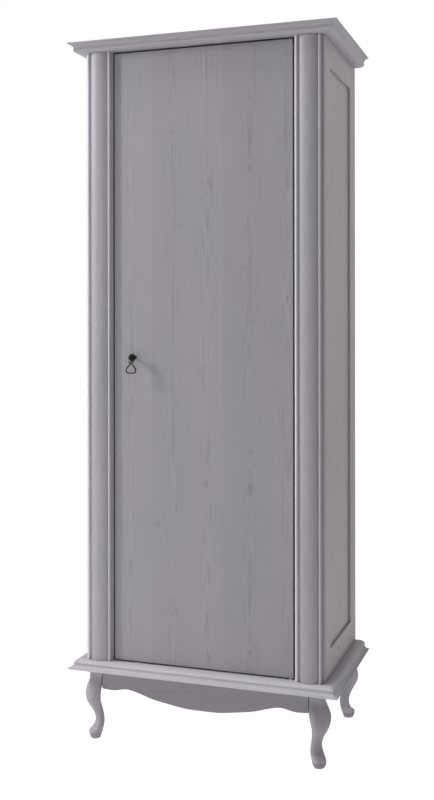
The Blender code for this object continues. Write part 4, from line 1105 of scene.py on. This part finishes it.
def make_clothes_rail():
    """A round tube with a wall and open ends, as wide as the CAD model's oval rail but not as high."""
    low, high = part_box("clothes_rail")
    tube = new_disc("clothes_rail.tube", (low + high) / 2, (0, 1, 0), (high.x - low.x) / 2, high.y - low.y,
                    sides=48)
    edit(tube, select="DESELECT", mode="FACE")
    leave_edit()
    for face in tube.data.polygons:
        face.select = abs(face.normal.y) > 0.6
    bpy.ops.object.mode_set(mode="EDIT")
    bpy.ops.mesh.delete(type="ONLY_FACE")
    leave_edit()
    with_modifier(tube, "SOLIDIFY", thickness=RAIL_WALL, offset=-1.0)
    smooth_shade(tube, 35.0)
    finish(tube, CHROME, "carcass", "clothes_rail")


def screw_head(name, place, axis, radius):
    """A countersunk screw's head with a cross recess, standing a little out of the face at place."""
    place, axis = Vector(place), Vector(axis)
    stand, sunk = radius * 0.10, radius * 0.15
    head = new_disc(name, place + axis * (stand - sunk) / 2, axis, radius, stand + sunk, sides=28)
    round_edges(head, radius * 0.08, segments=2, angle=60.0)
    side = axis.orthogonal().normalized()
    recess = place + axis * (stand + radius * 0.29)
    cutters = []
    for first, second in ((side, axis.cross(side)), (axis.cross(side), side)):
        reach = first * radius * 0.55 + second * radius * 0.11 + axis * radius * 0.4
        reach = Vector([abs(part) for part in reach])
        cutters.append(new_block(f"{name} recess", recess - reach, recess + reach))
    combine(head, [combine(cutters[0], cutters[1:], "UNION")])
    smooth_shade(head, 35.0)
    return head


def make_screws():
    """Screws in the hinge plates and sockets, the rail's brackets, the catch and its strike plate."""
    def add(node, body, metal, places, axis, radius):
        heads = [screw_head(f"{node} screw {at}", place, axis, radius) for at, place in enumerate(places)]
        finish(joined(f"{node}.screws", heads), metal, body)

    for end, way in (("bottom", 1), ("top", -1)):
        for kind, body, facing in (("plate", "carcass", way), ("socket", "door", -way)):
            low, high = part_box(f"pivot_{kind}_{end}")
            upper = min(high.z, low.z + PIVOT_PLATE) if kind == "plate" else high.z
            face = upper if facing > 0 else low.z
            places = [(low.x + inset, (low.y + high.y) / 2, face) for inset in (0.008, 0.024)]
            add(f"pivot_{kind}_{end}", body, ZINC, places, (0, 0, facing), 0.0033)
    for end in ("front", "rear"):
        centre, high = middle(f"rail_bracket_{end}"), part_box(f"rail_bracket_{end}")[1]
        places = [(centre.x + side * BRACKET_SCREW_REACH, centre.y, high.z - BRACKET_FLANGE_DEPTH)
                  for side in (-1, 1)]
        add(f"rail_bracket_{end}", "carcass", NICKEL, places, (0, 0, -1), 0.0032)
    low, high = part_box("catch_housing")
    places = [(x, (low.y + high.y) / 2, low.z) for x in (low.x + 0.0042, high.x - 0.0042)]
    add("catch_housing", "carcass", ZINC, places, (0, 0, -1), 0.0024)
    low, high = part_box("strike_plate")
    places = [(x, high.y, (low.z + high.z) / 2) for x in (low.x + 0.004, high.x - 0.004)]
    add("strike_plate", "door", ZINC, places, (0, 1, 0), 0.0022)


def make_back_pins():
    """Flat-headed pins along the back panel's edges."""
    def spaced(start, end):
        count = round((end - start) / BACK_PIN_SPACING)
        return [start + (end - start) * step / count for step in range(count + 1)]

    low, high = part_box("back_panel")
    left, right = low.x + BACK_PIN_INSET, high.x - BACK_PIN_INSET
    foot, top = low.z + BACK_PIN_INSET, high.z - BACK_PIN_INSET
    places = [(x, z) for x in (left, right) for z in spaced(foot, top)]
    places += [(x, z) for z in (foot, top) for x in spaced(left, right)[1:-1]]
    heads = []
    for count, (x, z) in enumerate(places):
        head = new_disc(f"pin {count}", (x, high.y, z), (0, 1, 0), BACK_PIN_RADIUS, BACK_PIN_STAND, sides=12)
        heads.append(round_edges(head, 0.0001, segments=1, angle=60.0))
    pins = joined("back_panel.pins", heads)
    smooth_shade(pins, 35.0)
    finish(pins, ZINC, "carcass")


# The wardrobe

bpy.context.scene.view_settings.view_transform = "Standard"
set_camera()
set_world()
set_floor()
for softbox in SOFTBOXES:
    soft_panel(*softbox)

# A band of painted shade along the door's top edge, deepening the gap under the cornice
door_top_shade_band = (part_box("door")[1].z - 0.0025, 9.0, DOOR_TOP_SHADE_TONE)
door_pine = stained_pine("door", "Z", "Y", (0.0, FRONT, 0.0), boards=DOOR_BOARDS, placed=DOOR_KNOTS,
                         depth=DOOR_PITH_DEPTH, tone=DOOR_TONE, relief=0.60, bands=(door_top_shade_band,))
dressed("door", door_pine, 0.0006, angle=30.0, smooth_angle=50.0)
for side in ("left", "right"):
    dressed(f"face_stile_{side}", pine_for(f"face_stile_{side}", "Z", "Y"), 0.0)
    make_pilaster(side)
    # The sides carry painted light and a painted pink tint for the light from the right; the rear stiles
    # carry painted shade
    for node, tone in ((f"side_front_stile_{side}", SIDE_LIGHT_TONE), (f"side_rear_stile_{side}", REAR_STILE_SHADE_TONE)):
        dressed(node, pine_for(node, "Z", "X", tone=tone, rosy=1.0), 0.0007)
    panel = f"side_panel_{side}"
    dressed(panel, pine_for(panel, "Z", "X", boards=SIDE_BOARDS, knots=0.22, tone=SIDE_LIGHT_TONE, rosy=1.0), 0.0)
    for node in (f"side_top_rail_{side}", f"side_bottom_rail_{side}"):
        dressed(node, pine_for(node, "Y", "X", tone=SIDE_LIGHT_TONE, rosy=1.0), 0.0007)
    # Painted shade on the side aprons under the base moulding
    dressed(f"apron_{side}", pine_for(f"apron_{side}", "Y", "X", tone=APRON_SHADE_TONE, rings=0.2), 0.0004)
make_mouldings()
# Painted shade on the front and rear aprons under the base moulding
for node in ("apron_front", "apron_rear"):
    dressed(node, pine_for(node, "X", "Y", tone=APRON_SHADE_TONE, rings=0.2), 0.0)
# The bottom panel's high tone is painted light, lifting the shade in the gap under the door
for node, tone in (("top_panel", 1.0), ("bottom_panel", BOTTOM_GAP_LIGHT_TONE), ("hat_shelf", 1.0)):
    dressed(node, pine_for(node, "X", "Z", boards=WIDE_BOARDS, knots=0.3, tone=tone), 0.0006)
for corner in LEG_LIGHT_AND_SHADE_TONES:
    make_leg(corner)
    dressed(f"leg_bolt_{corner}", ZINC, 0.0005)
    dressed(f"foot_glide_{corner}", PLASTIC, 0.0003, angle=30.0)
dressed("back_panel", pine_for("back_panel", "Z", "Y", slot="stained_hardboard"), 0.0003)
make_back_pins()

make_knob()
make_pendant_pin()
make_pendant()
dressed("pull_screw", ZINC, 0.0003)
make_clothes_rail()
for end in ("front", "rear"):
    dressed(f"rail_bracket_{end}", NICKEL, 0.0004)
    for side in ("left", "right"):
        dressed(f"shelf_pin_{end}_{side}", NICKEL, 0.0003)
for end in ("bottom", "top"):
    dressed(f"pivot_plate_{end}", ZINC, 0.0003)
    dressed(f"pivot_socket_{end}", ZINC, 0.0002)
dressed("strike_plate", ZINC, 0.0003)
dressed("catch_housing", PLASTIC, 0.0)
dressed("catch_magnet", FERRITE, 0.0003)
make_screws()
